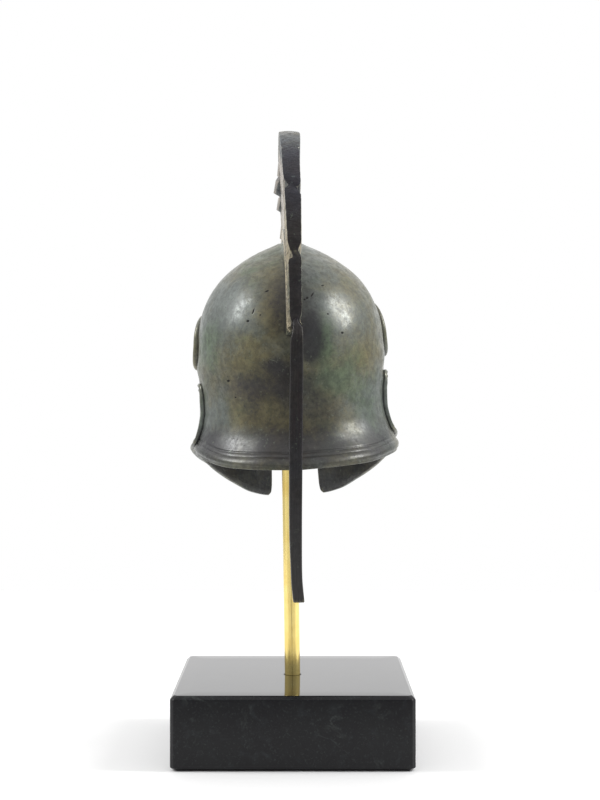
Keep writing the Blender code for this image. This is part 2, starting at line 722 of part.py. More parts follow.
# The tail hangs clear of the neck guard, from inside the plume's last tuft to a square end.
TAIL = np.array(
    [
        # height, middle_y, depth, thickness, sideways
        (52.0, 51.6, 5.6, 2.6, -0.5),
        (45.6, 53.1, 6.0, 3.0, -0.9),
        (43.5, 53.5, 6.8, 3.5, -0.8),
        (41.4, 53.6, 7.0, 4.0, -0.65),
        (36.0, 53.6, 7.0, 4.1, -0.6),
        (20.0, 53.8, 7.0, 4.2, -0.3),
        (0.0, 54.0, 6.8, 4.1, 0.0),
        (-20.0, 54.2, 6.5, 3.9, 0.2),
        (-33.0, 54.4, 6.2, 3.5, 0.0),
        (-40.8, 54.5, 6.0, 3.6, -0.6),
    ],
    dtype=[(c, float) for c in ("height", "middle_y", "depth", "thickness", "sideways")],
)
TAIL_SOFT = 0.55  # how much of each corner is taken off


def make_tail():
    """Long flat lock of hair with softened corners, bent a little sideways."""
    rows = TAIL[::-1]
    height = np.linspace(TAIL["height"][0], TAIL["height"][-1], 25)
    size = {c: curve_through(rows["height"], rows[c], height) for c in rows.dtype.names[1:]}
    soft = TAIL_SOFT
    sections = []
    for i, z in enumerate(height):
        x, y = size["thickness"][i] / 2, size["depth"][i] / 2
        outline = ((x - soft, -y), (x, -y + soft), (x, y - soft), (x - soft, y),
                   (-x + soft, y), (-x, y - soft), (-x, -y + soft), (-x + soft, -y))
        sections.append(
            [(a + size["sideways"][i], b + size["middle_y"][i], z) for a, b in outline]
        )
    return loft("crest_tail", sections, helper=True)


# Lock tips on both faces of the plume's front shoulder, in a chain that runs forward and down, each
# one's root under the foot of the one above.
FRONT_LOCKS = np.array(
    [
        # top_y, top_z, foot_y, foot_z, half_length, top_out, left_out, right_out
        (-2.0, 110.5, -11.0, 102.6, 4.2, 3.0, 4.2, 3.5),
        (-9.5, 105.5, -19.5, 97.6, 4.4, 2.9, 5.45, 3.8),
        (-18.0, 99.5, -27.0, 92.4, 4.2, 2.4, 4.3, 3.4),
        (-26.5, 90.5, -34.0, 82.6, 3.4, 1.7, 3.05, 2.6),
    ],
    dtype=[
        (c, float)
        for c in ("top_y", "top_z", "foot_y", "foot_z", "half_length", "top_out", "left_out", "right_out")
    ],
)
LOCK_SECTIONS = ((0.0, 0.35, 0.0), (0.42, 0.9, 0.4), (0.54, 0.98, 0.7), (0.97, 0.55, 1.0))
LOCK_FOOT_SLOPE = 0.5  # how much lower its foot lies at the plume than at its face, per mm
LOCK_ROOT = 1.0  # where it starts inside the plume


def make_front_locks():
    """The lock tips: leaves that widen and stand out more and more down to their foot, lofted through
    half-round sections given by their place along the lock, their breadth and their standing out."""
    turn = np.radians((0, 35, 90, 145, 180))
    locks = []
    for k, row in enumerate(FRONT_LOCKS):
        along_y, along_z = row["foot_y"] - row["top_y"], row["foot_z"] - row["top_z"]
        reach = math.hypot(along_y, along_z)
        for side, foot_out in ((1, row["left_out"]), (-1, row["right_out"])):
            sections = []
            for t, broad, stands in LOCK_SECTIONS:
                out = row["top_out"] + (foot_out - row["top_out"]) * stands
                x = LOCK_ROOT + (out - LOCK_ROOT) * np.clip(np.sin(turn), 0, 1) ** 0.6
                away = row["half_length"] * broad * np.cos(turn)
                y = row["top_y"] + along_y * t - away * along_z / reach
                z = row["top_z"] + along_z * t + away * along_y / reach * 0.4
                z = z - LOCK_FOOT_SLOPE * (out - x) * smooth_step(t, 0.7, 1.0)
                sections.append(np.column_stack([side * x, y, z]))
            locks.append(loft(f"front_lock_{k}_{side:+d}", sections, helper=True))
    return locks


# ---------------------------------------------------------------- assembly
def main():
    for obj in list(bpy.data.objects):
        bpy.data.objects.remove(obj)

    bronze = make_material("patinated_bronze", (0.10, 0.10, 0.075), 0.38, 0.8)
    brass = make_material("polished_brass", (0.89, 0.70, 0.30), 0.12, 1.0)
    marble = make_material("dark_green_marble", (0.018, 0.020, 0.024), 0.08, 0.0)

    rod_frame = make_empty(
        "rod_frame", location=(ROD_AXIS_X, 0, BLOCK_HEIGHT), rotation_deg=(0, ROD_LEAN_DEG, 0)
    )
    helmet_frame = make_leaning_frame("helmet", HELMET_SHIFT_X, HELMET_LEAN_DEG, HELMET_TURN_DEG)
    crest_frame = make_leaning_frame("crest", CREST_SHIFT_X, CREST_LEAN_DEG, CREST_TURN_DEG)

    block = make_block(marble)
    hole = add_cylinder("cut_rod_hole", rod_frame, ROD_HOLE_RADIUS, -ROD_HOLE_DEPTH, OVERRUN)
    boolean(block, "DIFFERENCE", hole)
    make_rod(brass, rod_frame)

    bowl = make_bowl_shell(bronze)
    ornaments = [*make_cheek_panels(), *make_volutes(), make_brow_band()]
    face = make_face_cutter()
    for obj in (bowl, face, *ornaments):
        obj.parent = helmet_frame
    ridge = make_ridge()
    ridge.parent = crest_frame
    socket = add_cylinder("socket", rod_frame, SOCKET_RADIUS, SOCKET_FOOT, SOCKET_TOP)
    bore = add_cylinder(
        "cut_socket_bore", rod_frame, ROD_RADIUS + GAP, SOCKET_FOOT - OVERRUN, ROD_TOP + GAP
    )
    boolean(bowl, "UNION", *ornaments, ridge, socket)
    boolean(bowl, "DIFFERENCE", face, bore)
    shade(bowl)

    crest = make_plume(bronze)
    crest_parts = [make_holder(), make_tail(), *make_front_locks()]
    for obj in (crest, *crest_parts):
        obj.parent = crest_frame
    boolean(crest, "UNION", *crest_parts)
    shade(crest)


main()
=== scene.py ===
import math

import bmesh
import bpy
import numpy as np
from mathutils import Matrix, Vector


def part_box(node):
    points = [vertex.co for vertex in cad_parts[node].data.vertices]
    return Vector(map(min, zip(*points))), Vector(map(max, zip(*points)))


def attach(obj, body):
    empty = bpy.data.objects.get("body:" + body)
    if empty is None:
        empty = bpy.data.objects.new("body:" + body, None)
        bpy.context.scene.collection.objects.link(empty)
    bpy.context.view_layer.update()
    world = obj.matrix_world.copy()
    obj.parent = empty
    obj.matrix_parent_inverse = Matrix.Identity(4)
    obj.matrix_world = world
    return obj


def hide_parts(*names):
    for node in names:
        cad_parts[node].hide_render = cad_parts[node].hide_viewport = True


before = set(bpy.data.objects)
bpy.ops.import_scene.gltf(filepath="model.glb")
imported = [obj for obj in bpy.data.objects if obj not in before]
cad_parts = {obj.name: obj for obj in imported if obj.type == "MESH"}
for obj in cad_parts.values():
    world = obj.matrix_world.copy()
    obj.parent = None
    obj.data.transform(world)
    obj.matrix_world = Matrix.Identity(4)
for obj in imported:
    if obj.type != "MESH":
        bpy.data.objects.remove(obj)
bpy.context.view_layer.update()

# ------------------------------------------------------------------ the stone block
# The foot of the stand is a square block of dark green, nearly black marble. It is sawn, its edges
# are chamfered, its top is polished like glass and its sides are honed, and a blind hole drilled
# from above takes the rod.
MM = 0.001
BLOCK_LOW, BLOCK_HIGH = [np.array(corner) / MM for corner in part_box("marble_block")]
BLOCK_HALF = (BLOCK_HIGH[0] - BLOCK_LOW[0]) / 2
BLOCK_TOP = BLOCK_HIGH[2]
CHAMFER = 1.2
CHAMFER_SOFT = 0.3  # how much of each chamfer's own two edges the polisher rounds off
ROD_AXIS_X = 0.3  # where the rod's axis meets the block's top
ROD_LEAN = math.radians(0.8)
ROD_RADIUS = 2.7
ROD_HOLE_RADIUS = 2.95
ROD_HOLE_DEPTH = 13.9
ROD_HOLE_BREAK = 0.25  # how far the hole's mouth is broken
DOT = 0.05  # radius of the ring at the middle of a flat end


def grid_quads(rows, columns):
    """Corners of the quads between neighbouring points of a grid that is stored row by row and
    whose last column joins its first."""
    row = np.arange(rows - 1)[:, None] * columns
    column = np.arange(columns)[None]
    after = (column + 1) % columns
    quads = [row + column, row + after, row + columns + after, row + columns + column]
    return np.stack(quads, axis=-1).reshape(-1, 4)


def new_mesh(name, points, polygons):
    """Mesh from an array of points in millimetres and arrays of polygons, one array for each number
    of corners. The faces are turned round if the volume under them, a sixth of each corner triple's
    determinant, adds up to less than nothing."""
    volume = 0.0
    for corners in polygons:
        for k in range(1, corners.shape[1] - 1):
            a, b, c = (points[corners[:, i]] for i in (0, k, k + 1))
            volume += np.einsum("ij,ij->", a, np.cross(b, c))
    if volume < 0:
        polygons = [corners[:, ::-1] for corners in polygons]
    counts = np.concatenate([np.full(len(p), p.shape[1]) for p in polygons])
    mesh = bpy.data.meshes.new(name)
    mesh.vertices.add(len(points))
    mesh.vertices.foreach_set("co", (points * MM).astype(np.float32).ravel())
    mesh.loops.add(int(counts.sum()))
    mesh.loops.foreach_set("vertex_index", np.concatenate([p.ravel() for p in polygons]))
    mesh.polygons.add(len(counts))
    mesh.polygons.foreach_set("loop_start", np.cumsum(counts) - counts)
    mesh.update(calc_edges=True)
    return mesh


def closed_loft(name, sections):
    """Closed solid whose skin runs through a stack of closed sections with equal point counts: quads
    between neighbours, and at each end a fan of triangles to that section's middle."""
    sections = np.asarray(sections, float)
    rows, columns = sections.shape[:2]
    points = np.concatenate([sections.reshape(-1, 3), sections[0].mean(0)[None], sections[-1].mean(0)[None]])
    here = np.arange(columns)
    after = (here + 1) % columns
    foot = np.full(columns, rows * columns)
    last = (rows - 1) * columns
    fans = np.concatenate([
        np.stack([after, here, foot], axis=-1),
        np.stack([last + here, last + after, foot + 1], axis=-1),
    ])
    obj = bpy.data.objects.new(name, new_mesh(name, points, [grid_quads(rows, columns), fans]))
    bpy.context.scene.collection.objects.link(obj)
    return obj


def finish_piece(obj, material, node, sharp_deg=38):
    """Shades a finished mesh smooth up to an angle and hands it over in place of its CAD node."""
    obj.data.shade_smooth()
    obj.data.set_sharp_from_angle(angle=math.radians(sharp_deg))
    obj.data.materials.clear()
    obj.data.materials.append(material)
    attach(obj, "root")
    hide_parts(node)


def rounded_square(half, cut, soft):
    """Outline of a square with cut corners, as x and y. Each of its eight corners is an arc of five
    points, a quadratic curve between the two places at the soft distance from it. Each long side has
    twelve points in between."""
    near = half - cut
    corners = np.array([(half, -near), (half, near), (near, half), (-near, half),
                        (-half, near), (-half, -near), (-near, -half), (near, -half)])
    before, after = np.roll(corners, 1, axis=0), np.roll(corners, -1, axis=0)
    outline = []
    for corner, back, ahead in zip(corners, before, after):
        start = corner + (back - corner) * soft / np.linalg.norm(back - corner)
        end = corner + (ahead - corner) * soft / np.linalg.norm(ahead - corner)
        t = np.linspace(0, 1, 5)[:, None]
        outline.append((1 - t) ** 2 * start + 2 * t * (1 - t) * corner + t * t * end)
        run = np.linalg.norm(ahead - corner)
        if run > half:
            share = np.linspace(0, 1, 14)[1:-1, None]
            outline.append(end + (ahead - end) * share)
    return np.concatenate(outline)


def rod_point(radius, turn, along):
    """Point at a distance round and along the rod's axis, which leans in the x-z plane and meets the
    block's top at its own zero."""
    x, y, z = np.broadcast_arrays(radius * np.cos(turn), radius * np.sin(turn), along)
    return np.stack([
        ROD_AXIS_X + x * math.cos(ROD_LEAN) + z * math.sin(ROD_LEAN),
        y,
        BLOCK_TOP - x * math.sin(ROD_LEAN) + z * math.cos(ROD_LEAN),
    ], axis=-1)


def make_block():
    """The block's skin as rings: out over the underside, round the lower chamfer, up the sides, round
    the upper chamfer, in over the top to the hole's edge, and down the hole."""
    cut, soft = CHAMFER, CHAMFER_SOFT
    slant = 0.7 * soft  # the soft distance, along the chamfer's slope of 45 degrees
    profile = [(0.02, 0.0), (BLOCK_HALF - 10, 0.0)]  # distance from the middle, height
    for foot, corner, head in (
        ((cut + soft, 0), (cut, 0), (cut - slant, slant)),
        ((slant, cut - slant), (0, cut), (0, cut + soft)),
    ):
        t = np.linspace(0, 1, 5)[:, None]
        curve = (1 - t) ** 2 * np.array(foot) + 2 * t * (1 - t) * np.array(corner) + t * t * np.array(head)
        profile += [(BLOCK_HALF - inward, up) for inward, up in curve]
    edge = profile[2:]
    profile += [(size, BLOCK_TOP - up) for size, up in reversed(edge)]
    outline = rounded_square(BLOCK_HALF, cut, soft)
    rings = []
    for size, up in profile:
        ring = outline * size / BLOCK_HALF
        rings.append(np.column_stack([ring, np.full(len(ring), up)]))
    turn = np.arctan2(outline[:, 1], outline[:, 0])
    flat = rings[-1]
    mouth = rod_point(ROD_HOLE_RADIUS + ROD_HOLE_BREAK, turn, np.zeros(len(turn)))
    mouth[:, 2] = BLOCK_TOP
    for share in (0.2, 0.45, 0.7, 0.88, 1.0):
        rings.append(flat + (mouth - flat) * share)
    for along in (-ROD_HOLE_BREAK, -4.0, -9.0, -ROD_HOLE_DEPTH):
        rings.append(rod_point(ROD_HOLE_RADIUS, turn, np.full(len(turn), along)))
    rings.append(rod_point(DOT, turn, np.full(len(turn), -ROD_HOLE_DEPTH)))
    return closed_loft("stone_block", rings)


def new_material(name, roughness, metallic):
    """A material and its Principled shader."""
    material = bpy.data.materials.new(name)
    material.use_nodes = True
    shader = material.node_tree.nodes["Principled BSDF"]
    shader.inputs["Roughness"].default_value = roughness
    shader.inputs["Metallic"].default_value = metallic
    return material, shader


class Nodes:
    """Adds nodes to a tree in one line each. A value goes to a socket as its default, and a socket is
    linked to it. A socket is given by its name, or by i and its number where names repeat."""

    def __init__(self, tree):
        self.tree = tree

    def add(self, kind, settings=None, **inputs):
        node = self.tree.nodes.new(kind)
        for key, value in (settings or {}).items():
            setattr(node, key, value)
        for key, value in inputs.items():
            self.feed(node.inputs[int(key[1:]) if key[1:].isdigit() else key.replace("_", " ")], value)
        return node

    def feed(self, socket, value):
        if isinstance(value, bpy.types.NodeSocket):
            self.tree.links.new(value, socket)
        else:
            socket.default_value = value

    def math(self, operation, a, b=0.0, clamp=False):
        settings = {"operation": operation, "use_clamp": clamp}
        return self.add("ShaderNodeMath", settings, i0=a, i1=b).outputs[0]

    def mix(self, share, a, b, blend="MIX"):
        node = self.tree.nodes.new("ShaderNodeMix")
        node.data_type, node.blend_type = "RGBA", blend
        for socket, value in ((node.inputs[0], share), (node.inputs[6], a), (node.inputs[7], b)):
            self.feed(socket, value)
        return node.outputs[2]

    def ramp(self, value, low, high, to_low=0.0, to_high=1.0):
        """A smooth step from one level to another."""
        return self.add("ShaderNodeMapRange", {"interpolation_type": "SMOOTHSTEP"}, Value=value,
                        i1=low, i2=high, i3=to_low, i4=to_high).outputs[0]

    def noise(self, place, scale, detail=3.0, roughness=0.55, distortion=0.0):
        return self.add("ShaderNodeTexNoise", None, Vector=place, Scale=scale, Detail=detail,
                        Roughness=roughness, Distortion=distortion).outputs[0]

    def place(self, scale=(1, 1, 1), turn=(0, 0, 0)):
        """Object coordinates, scaled and turned by a Mapping node."""
        where = self.add("ShaderNodeTexCoord").outputs["Object"]
        return self.add("ShaderNodeMapping", None, Vector=where, Scale=scale, Rotation=turn).outputs[0]


def colour(red, green, blue):
    """A colour given as screen values from 0 to 255, turned into the linear ones that shaders use."""
    linear = [((v / 255 + 0.055) / 1.055) ** 2.4 if v > 10 else v / 255 / 12.92 for v in (red, green, blue)]
    return (*linear, 1.0)


def make_marble():
    """Dark stone: near-black ground with cloudy grey-green patches, a fine crystalline speckle, and
    thin broken pale veins where a warped noise crosses its middle value. Faces that look up or down
    are polished, the others honed."""
    material, shader = new_material("dark_green_marble", 0.07, 0.0)
    shader.inputs["Specular IOR Level"].default_value = 0.30
    n = Nodes(material.node_tree)
    at = n.place(turn=(0.3, 0.5, 0.2))
    clouds = n.noise(at, 70.0, 4.0, 0.6, 0.4)
    blotch = n.noise(at, 260.0, 3.0, 0.6, 0.6)
    speck = n.noise(at, 1500.0, 2.0, 0.5)
    ground = n.mix(n.ramp(clouds, 0.35, 0.72), colour(5, 4, 9), colour(11, 12, 15))
    ground = n.mix(n.ramp(blotch, 0.50, 0.78), ground, colour(23, 26, 29))
    ground = n.mix(n.ramp(blotch, 0.20, 0.42, 0.55, 0.0), ground, colour(6, 5, 11))
    ground = n.mix(n.math("MULTIPLY", n.ramp(speck, 0.56, 0.72), 0.3), ground, colour(52, 58, 56))
    vein = n.math("ABSOLUTE", n.math("SUBTRACT", n.noise(at, 34.0, 5.0, 0.6, 1.6), 0.5))
    broken = n.ramp(n.noise(at, 90.0, 2.0), 0.52, 0.68)
    vein = n.math("MULTIPLY", n.ramp(vein, 0.0, 0.03, 1.0, 0.0), broken)
    ground = n.mix(n.math("MULTIPLY", vein, 0.12), ground, colour(96, 104, 100))
    n.feed(shader.inputs["Base Color"], ground)
    normal = n.add("ShaderNodeNewGeometry").outputs["True Normal"]
    upright = n.math("ABSOLUTE", n.add("ShaderNodeSeparateXYZ", None, Vector=normal).outputs[2])
    haze = n.math("MULTIPLY", n.noise(at, 420.0, 3.0), 0.05)
    n.feed(shader.inputs["Roughness"], n.math("ADD", n.ramp(upright, 0.5, 0.95, 0.26, 0.035), haze))
    bump = n.add("ShaderNodeBump", None, Strength=0.10, Distance=0.00005, Height=blotch)
    n.feed(shader.inputs["Normal"], bump.outputs[0])
    return material


block = make_block()
finish_piece(block, make_marble(), "marble_block")

# ------------------------------------------------------------------ the brass rod
# A plain round bar of polished brass, drawn and then polished along its length, so that very fine
# lines run down it. Its foot stands in the block's hole, and its head in the boss under the crown.
ROD_FOOT, ROD_HEAD = -13.7, 142.0  # its two ends, along it from the block's top
ROD_BROKEN_EDGE = 0.3
ROD_COLUMNS, ROD_ROWS = 96, 60


def make_rod():
    """Rings along the rod's axis: both ends are rounded off by a quarter circle."""
    turn = np.linspace(0, 2 * np.pi, ROD_COLUMNS, endpoint=False)
    bend = np.linspace(0, np.pi / 2, 6)
    round_in = ROD_RADIUS - ROD_BROKEN_EDGE * (1 - np.sin(bend))
    round_up = ROD_BROKEN_EDGE * (1 - np.cos(bend))
    radius = np.concatenate([[DOT], round_in, np.full(ROD_ROWS, ROD_RADIUS), round_in[::-1], [DOT]])
    along = np.concatenate([
        [ROD_FOOT], ROD_FOOT + round_up, np.linspace(ROD_FOOT + 1, ROD_HEAD - 1, ROD_ROWS),
        (ROD_HEAD - round_up)[::-1], [ROD_HEAD],
    ])
    rings = [rod_point(r, turn, np.full(ROD_COLUMNS, a)) for r, a in zip(radius, along)]
    return closed_loft("rod_bar", rings)


def make_brass():
    """Golden metal with lines drawn out along the rod, and a slight warm tarnish in soft clouds that
    also dulls it a little. The drawn lines spread its shine round the rod."""
    material, shader = new_material("polished_brass", 0.14, 0.95)
    shader.inputs["Anisotropic"].default_value = 0.3
    n = Nodes(material.node_tree)
    lines = n.noise(n.place(scale=(1, 1, 0.02)), 5200.0, 2.0)
    clouds = n.noise(n.place(), 95.0, 4.0, 0.6)
    gold = n.mix(n.ramp(clouds, 0.3, 0.75), colour(252, 230, 150), colour(242, 212, 124))
    gold = n.mix(n.ramp(lines, 0.55, 0.8, 0.0, 0.3), gold, colour(196, 152, 70))
    n.feed(shader.inputs["Base Color"], gold)
    dull = n.math("ADD", n.ramp(clouds, 0.3, 0.8, 0.16, 0.22), n.math("MULTIPLY", lines, 0.05))
    n.feed(shader.inputs["Roughness"], dull)
    around = n.add("ShaderNodeTangent", {"direction_type": "RADIAL", "axis": "Z"}).outputs[0]
    n.feed(shader.inputs["Tangent"], around)
    bump = n.add("ShaderNodeBump", None, Strength=0.25, Distance=0.00003, Height=lines)
    n.feed(shader.inputs["Normal"], bump.outputs[0])
    return material


rod = make_rod()
finish_piece(rod, make_brass(), "brass_rod")

# ------------------------------------------------------------------ the helmet bowl
# One bronze casting, about two millimetres thick: dome, pinched neck, flared neck guard and long
# cheek guards. It was finished by hand with files, then patinated green and brown and waxed, so
# that its highest edges shine through and small casting pores show.
RIM_HEIGHT = 98.0  # heights on the helmet and the crest are counted from this level
PIVOT_HEIGHT = 35.0  # the level about which each leans
HELMET_LEAN, HELMET_TURN, HELMET_SHIFT_X = math.radians(2.6), math.radians(1.1), 0.55
CREST_LEAN, CREST_TURN, CREST_SHIFT_X = math.radians(0.5), math.radians(1.6), 0.85
EQUATOR = 43.4  # level of the dome's widest section
CROWN_RISE = 31.8  # from there to its top
BOWL_INSIDE = np.array([0.0, 0.0, EQUATOR - 20])  # a point that the whole wall surrounds
WALL = 2.2
SUNK = 0.8  # how deep a raised ornament reaches into the wall

SECTIONS = np.array(
    [
        # height, half_width, rear, front
        (43.4, 32.2, 40.0, 43.0),
        (36.0, 32.6, 39.4, 43.4),
        (30.0, 32.5, 37.8, 43.8),
        (25.0, 31.9, 36.3, 44.4),
        (20.0, 31.8, 35.6, 45.0),
        (16.0, 32.4, 35.6, 45.6),
        (12.0, 33.6, 36.3, 46.3),
        (9.0, 34.8, 37.8, 46.8),
        (6.0, 35.9, 40.1, 47.2),
        (3.0, 36.5, 42.9, 47.6),
        (0.0, 35.7, 45.4, 48.0),
        (-8.0, 34.0, 46.8, 48.6),
        (-15.0, 33.0, 46.8, 48.8),
    ],
    dtype=[("height", float), ("half_width", float), ("rear", float), ("front", float)],
)
LOWER_EDGE = np.array(
    [
        # angle from the nape in degrees, height
        (0, 0.0), (40, 1.1), (70, 3.8), (92, 4.9), (106, 2.4),
        (121, -2.7), (136, -7.7), (150, -11.8), (162, -13.3), (180, -13.5),
    ],
    dtype=[("angle", float), ("height", float)],
)
EDGE_SAG = 1.0  # how much lower it hangs under the -X ear, and higher under the +X one


def curve_through(knots, values, at):
    """Smooth curve through a table's rows that never overshoots them: cubic pieces whose slope at a
    row is the harmonic mean of its two neighbours' slopes, and zero where these change sign."""
    knots, values = np.asarray(knots, float), np.asarray(values, float)
    at = np.clip(at, knots[0], knots[-1])
    step = np.diff(knots)
    rise = np.diff(values) / step
    slope = np.zeros(len(knots))
    same = rise[:-1] * rise[1:] > 0
    total = np.where(same, rise[:-1] + rise[1:], 1.0)
    slope[1:-1] = np.where(same, 2 * rise[:-1] * rise[1:] / total, 0.0)
    slope[0], slope[-1] = rise[0], rise[-1]
    i = np.clip(np.searchsorted(knots, at, side="right") - 1, 0, len(step) - 1)
    t = (at - knots[i]) / step[i]
    return (
        values[i] * (1 + 2 * t) * (1 - t) ** 2
        + slope[i] * step[i] * t * (1 - t) ** 2
        + values[i + 1] * t * t * (3 - 2 * t)
        + slope[i + 1] * step[i] * t * t * (t - 1)
    )


def smooth_step(value, low, high):
    """Rises from 0 to 1 between two levels, as 3 t squared less 2 t cubed."""
    t = np.clip((value - low) / (high - low), 0, 1)
    return t * t * (3 - 2 * t)


def bell(distance, width):
    """A soft bump, e to the power of minus the squared share of the width."""
    return np.exp(-((distance / width) ** 2))


def section_size(column, height):
    """A section's size at any height: the table's curve below the equator, and above it that of the
    equator times a quarter ellipse's root of one less the squared share of the rise."""
    rows = SECTIONS[::-1]
    below = curve_through(rows["height"], rows[column], np.minimum(height, EQUATOR))
    lift = np.clip((height - EQUATOR) / CROWN_RISE, 0.0, 1.0)
    return below * np.sqrt(1 - lift * lift)


def wall_point(angle, height, out=0.0):
    """Point of the bowl's outer wall, moved out in its level section, which is two half ellipses.
    The angle is in degrees round the bowl: 0 at the nape, 90 at the +X ear, 180 at the brow."""
    angle, height, out = np.broadcast_arrays(np.radians(angle), height, out)
    length = np.where(np.cos(angle) > 0, section_size("rear", height), section_size("front", height))
    x = (section_size("half_width", height) + out) * np.sin(angle)
    y = (length + out) * np.cos(angle)
    return np.stack([x, y, height], axis=-1)


def lower_edge(angle):
    """Height of the bowl's lower edge at an angle in degrees. It sags a little under the -X ear and
    rises as much under the +X one."""
    turn = np.radians(np.asarray(angle, float))
    folded = 180 - np.abs(180 - np.abs(angle) % 360)
    sag = EDGE_SAG * np.sin(turn) * np.abs(np.sin(turn)) ** 3
    return curve_through(LOWER_EDGE["angle"], LOWER_EDGE["height"], folded) + sag


BEAD_CENTRE, BEAD_HALF, BEAD_RISE = 2.6, 1.5, 0.42  # the round bead, by height over the lower edge
LINE_CENTRE, LINE_HALF, LINE_DEPTH = 5.4, 0.32, 0.26  # the cut line above it
CREASE_CENTRE, CREASE_HALF, CREASE_DEPTH = 4.0, 0.26, 0.12  # the faint line between the two
LIP_TURN, LIP_HEIGHT = 1.3, 3.6  # how far the wall turns in towards its lip, and from what height
BEAD_FADE = (78.0, 100.0)  # degrees from the nape between which bead and lines die away
LIP_FADE = (105.0, 135.0)  # and the turned lip


def rim_relief(angle, over):
    """Relief of the neck guard's border: a half-round bead and two cut lines, with the bell's
    outline, that die away towards the cheeks, and the lip, which turns in by a squared share."""
    along = 1 - smooth_step(np.abs(angle), *BEAD_FADE)
    across = np.clip(np.abs(over - BEAD_CENTRE) / BEAD_HALF, 0, 1)
    bead = BEAD_RISE * np.sqrt(1 - across**2)
    lines = LINE_DEPTH * bell(over - LINE_CENTRE, LINE_HALF)
    lines = lines + CREASE_DEPTH * bell(over - CREASE_CENTRE, CREASE_HALF)
    turned = LIP_TURN * np.clip(1 - over / LIP_HEIGHT, 0, 1) ** 2
    return (bead - lines) * along - turned * (1 - smooth_step(np.abs(angle), *LIP_FADE))


DENTS = np.array(
    [
        # angle, height, across_mm, up_mm, depth: the file's flats and the dents at the nape
        (-11.0, 35.0, 6.0, 2.6, 0.42),
        (12.0, 34.0, 7.0, 2.4, 0.40),
        (6.0, 27.0, 9.0, 3.0, -0.16),
        (-34.0, 52.0, 9.0, 11.0, 0.16),
        (36.0, 50.0, 10.0, 9.0, 0.18),
        (-40.0, 12.0, 8.0, 4.0, 0.18),
        (38.0, 9.0, 9.0, 3.6, 0.14),
        (62.0, 38.0, 8.0, 9.0, -0.14),
        (-66.0, 30.0, 8.0, 9.0, -0.14),
        (128.0, 56.0, 10.0, 8.0, 0.16),
        (-140.0, 60.0, 11.0, 8.0, 0.16),
        (-90.0, 32.0, 16.0, 2.8, 0.7),
        (92.0, 34.6, 14.0, 2.4, -0.55),
    ],
    dtype=[(c, float) for c in ("angle", "height", "across", "up", "depth")],
)
WAVES = (
    # height, how many go round the bowl, radians per millimetre upwards, start
    (0.07, 5, 0.11, 0.0),
    (0.05, 9, -0.19, 1.0),
    (0.045, 14, 0.31, 2.0),
)
WAVES_END = (62.0, 75.0)  # heights between which they die away towards the crown
MM_PER_DEGREE = 0.62  # round the bowl, on the average


def hand_finish(angle, height):
    """How far the filed surface stands off the true form: a few slow sine waves round and up the
    bowl, less the soft bells of the dents."""
    turn = np.radians(angle)
    waves = sum(size * np.sin(count * turn + climb * height + start) for size, count, climb, start in WAVES)
    total = waves * (1 - smooth_step(height, *WAVES_END))
    for dent in DENTS:
        away = (angle - dent["angle"] + 180) % 360 - 180
        near = bell(away * MM_PER_DEGREE, dent["across"]) * bell(height - dent["height"], dent["up"])
        total = total - dent["depth"] * near
    return total


def pushed_out(rings, amount):
    """Moves every point of a closed grid along its normal, the cross product of the grid's two
    central differences."""
    around = np.roll(rings, -1, axis=1) - np.roll(rings, 1, axis=1)
    normal = np.cross(np.gradient(rings, axis=0), around)
    normal /= np.linalg.norm(normal, axis=-1, keepdims=True) + 1e-12
    outward = np.sign(np.sum(normal * (rings - BOWL_INSIDE), axis=-1, keepdims=True))
    return rings + normal * outward * amount[..., None]


BOWL_COLUMNS = 320
OUTER_ROWS, INNER_ROWS = (48, 40, 40), (22, 18, 4)  # rings of the dome, of the wall and of the rim
RIM_FROM, RIM_TO = 6.6, 0.55  # heights over the lower edge between which the rim's rings lie
RIM_TRUE = 3.0  # from this height down to the edge the hand finish dies away
CROWN_DOT = 0.004  # radians from the pole to the first ring


def bowl_rings(inset, dome_rows, wall_rows, rim_rows):
    """Rings of the outer or, with an inset, of the inner wall, from the crown down to the lower edge:
    a quarter ellipse of rings over the equator, then straight shares of the way to the rim."""
    angle = np.linspace(-180, 180, BOWL_COLUMNS, endpoint=False)
    rim_heights = np.linspace(RIM_FROM, RIM_TO, rim_rows)
    rings, amounts = [], []
    for polar in np.radians(np.linspace(0, 90, dome_rows + 1)):
        polar = max(polar, CROWN_DOT)
        ring = wall_point(angle, EQUATOR, -inset) * math.sin(polar)
        ring[:, 2] = EQUATOR + math.cos(polar) * (CROWN_RISE - inset)
        rings.append(ring)
        amounts.append(hand_finish(angle, ring[:, 2]))
    foot = lower_edge(angle) + rim_heights[0]
    for share in np.linspace(0, 1, wall_rows + 1)[1:]:
        height = EQUATOR + (foot - EQUATOR) * share
        rings.append(wall_point(angle, height, -inset))
        amounts.append(hand_finish(angle, height))
    for over in rim_heights[1:]:
        height = lower_edge(angle) + over
        relief = rim_relief(angle, over) if inset == 0 else 0.0
        rings.append(wall_point(angle, height, relief - inset))
        amounts.append(hand_finish(angle, height) * min(1.0, over / RIM_TRUE))
    return pushed_out(np.array(rings), np.array(amounts))


def make_bowl_shell():
    """The bowl before its ornaments and its face opening: the outer wall, a lip rounded by a half
    ellipse, and the inner wall."""
    outer = bowl_rings(0.0, *OUTER_ROWS)
    inner = bowl_rings(WALL, *INNER_ROWS)
    angle = np.linspace(-180, 180, BOWL_COLUMNS, endpoint=False)
    lip = []
    turned = rim_relief(angle, RIM_TO)
    for bend in np.linspace(0, np.pi, 9)[1:-1]:
        out = -WALL / 2 + (WALL / 2 + turned / 2) * math.cos(bend) + turned / 2
        lip.append(wall_point(angle, lower_edge(angle) + RIM_TO * (1 - math.sin(bend)), out))
    return closed_loft("bowl_casting", [*outer, *lip, *inner[::-1]])


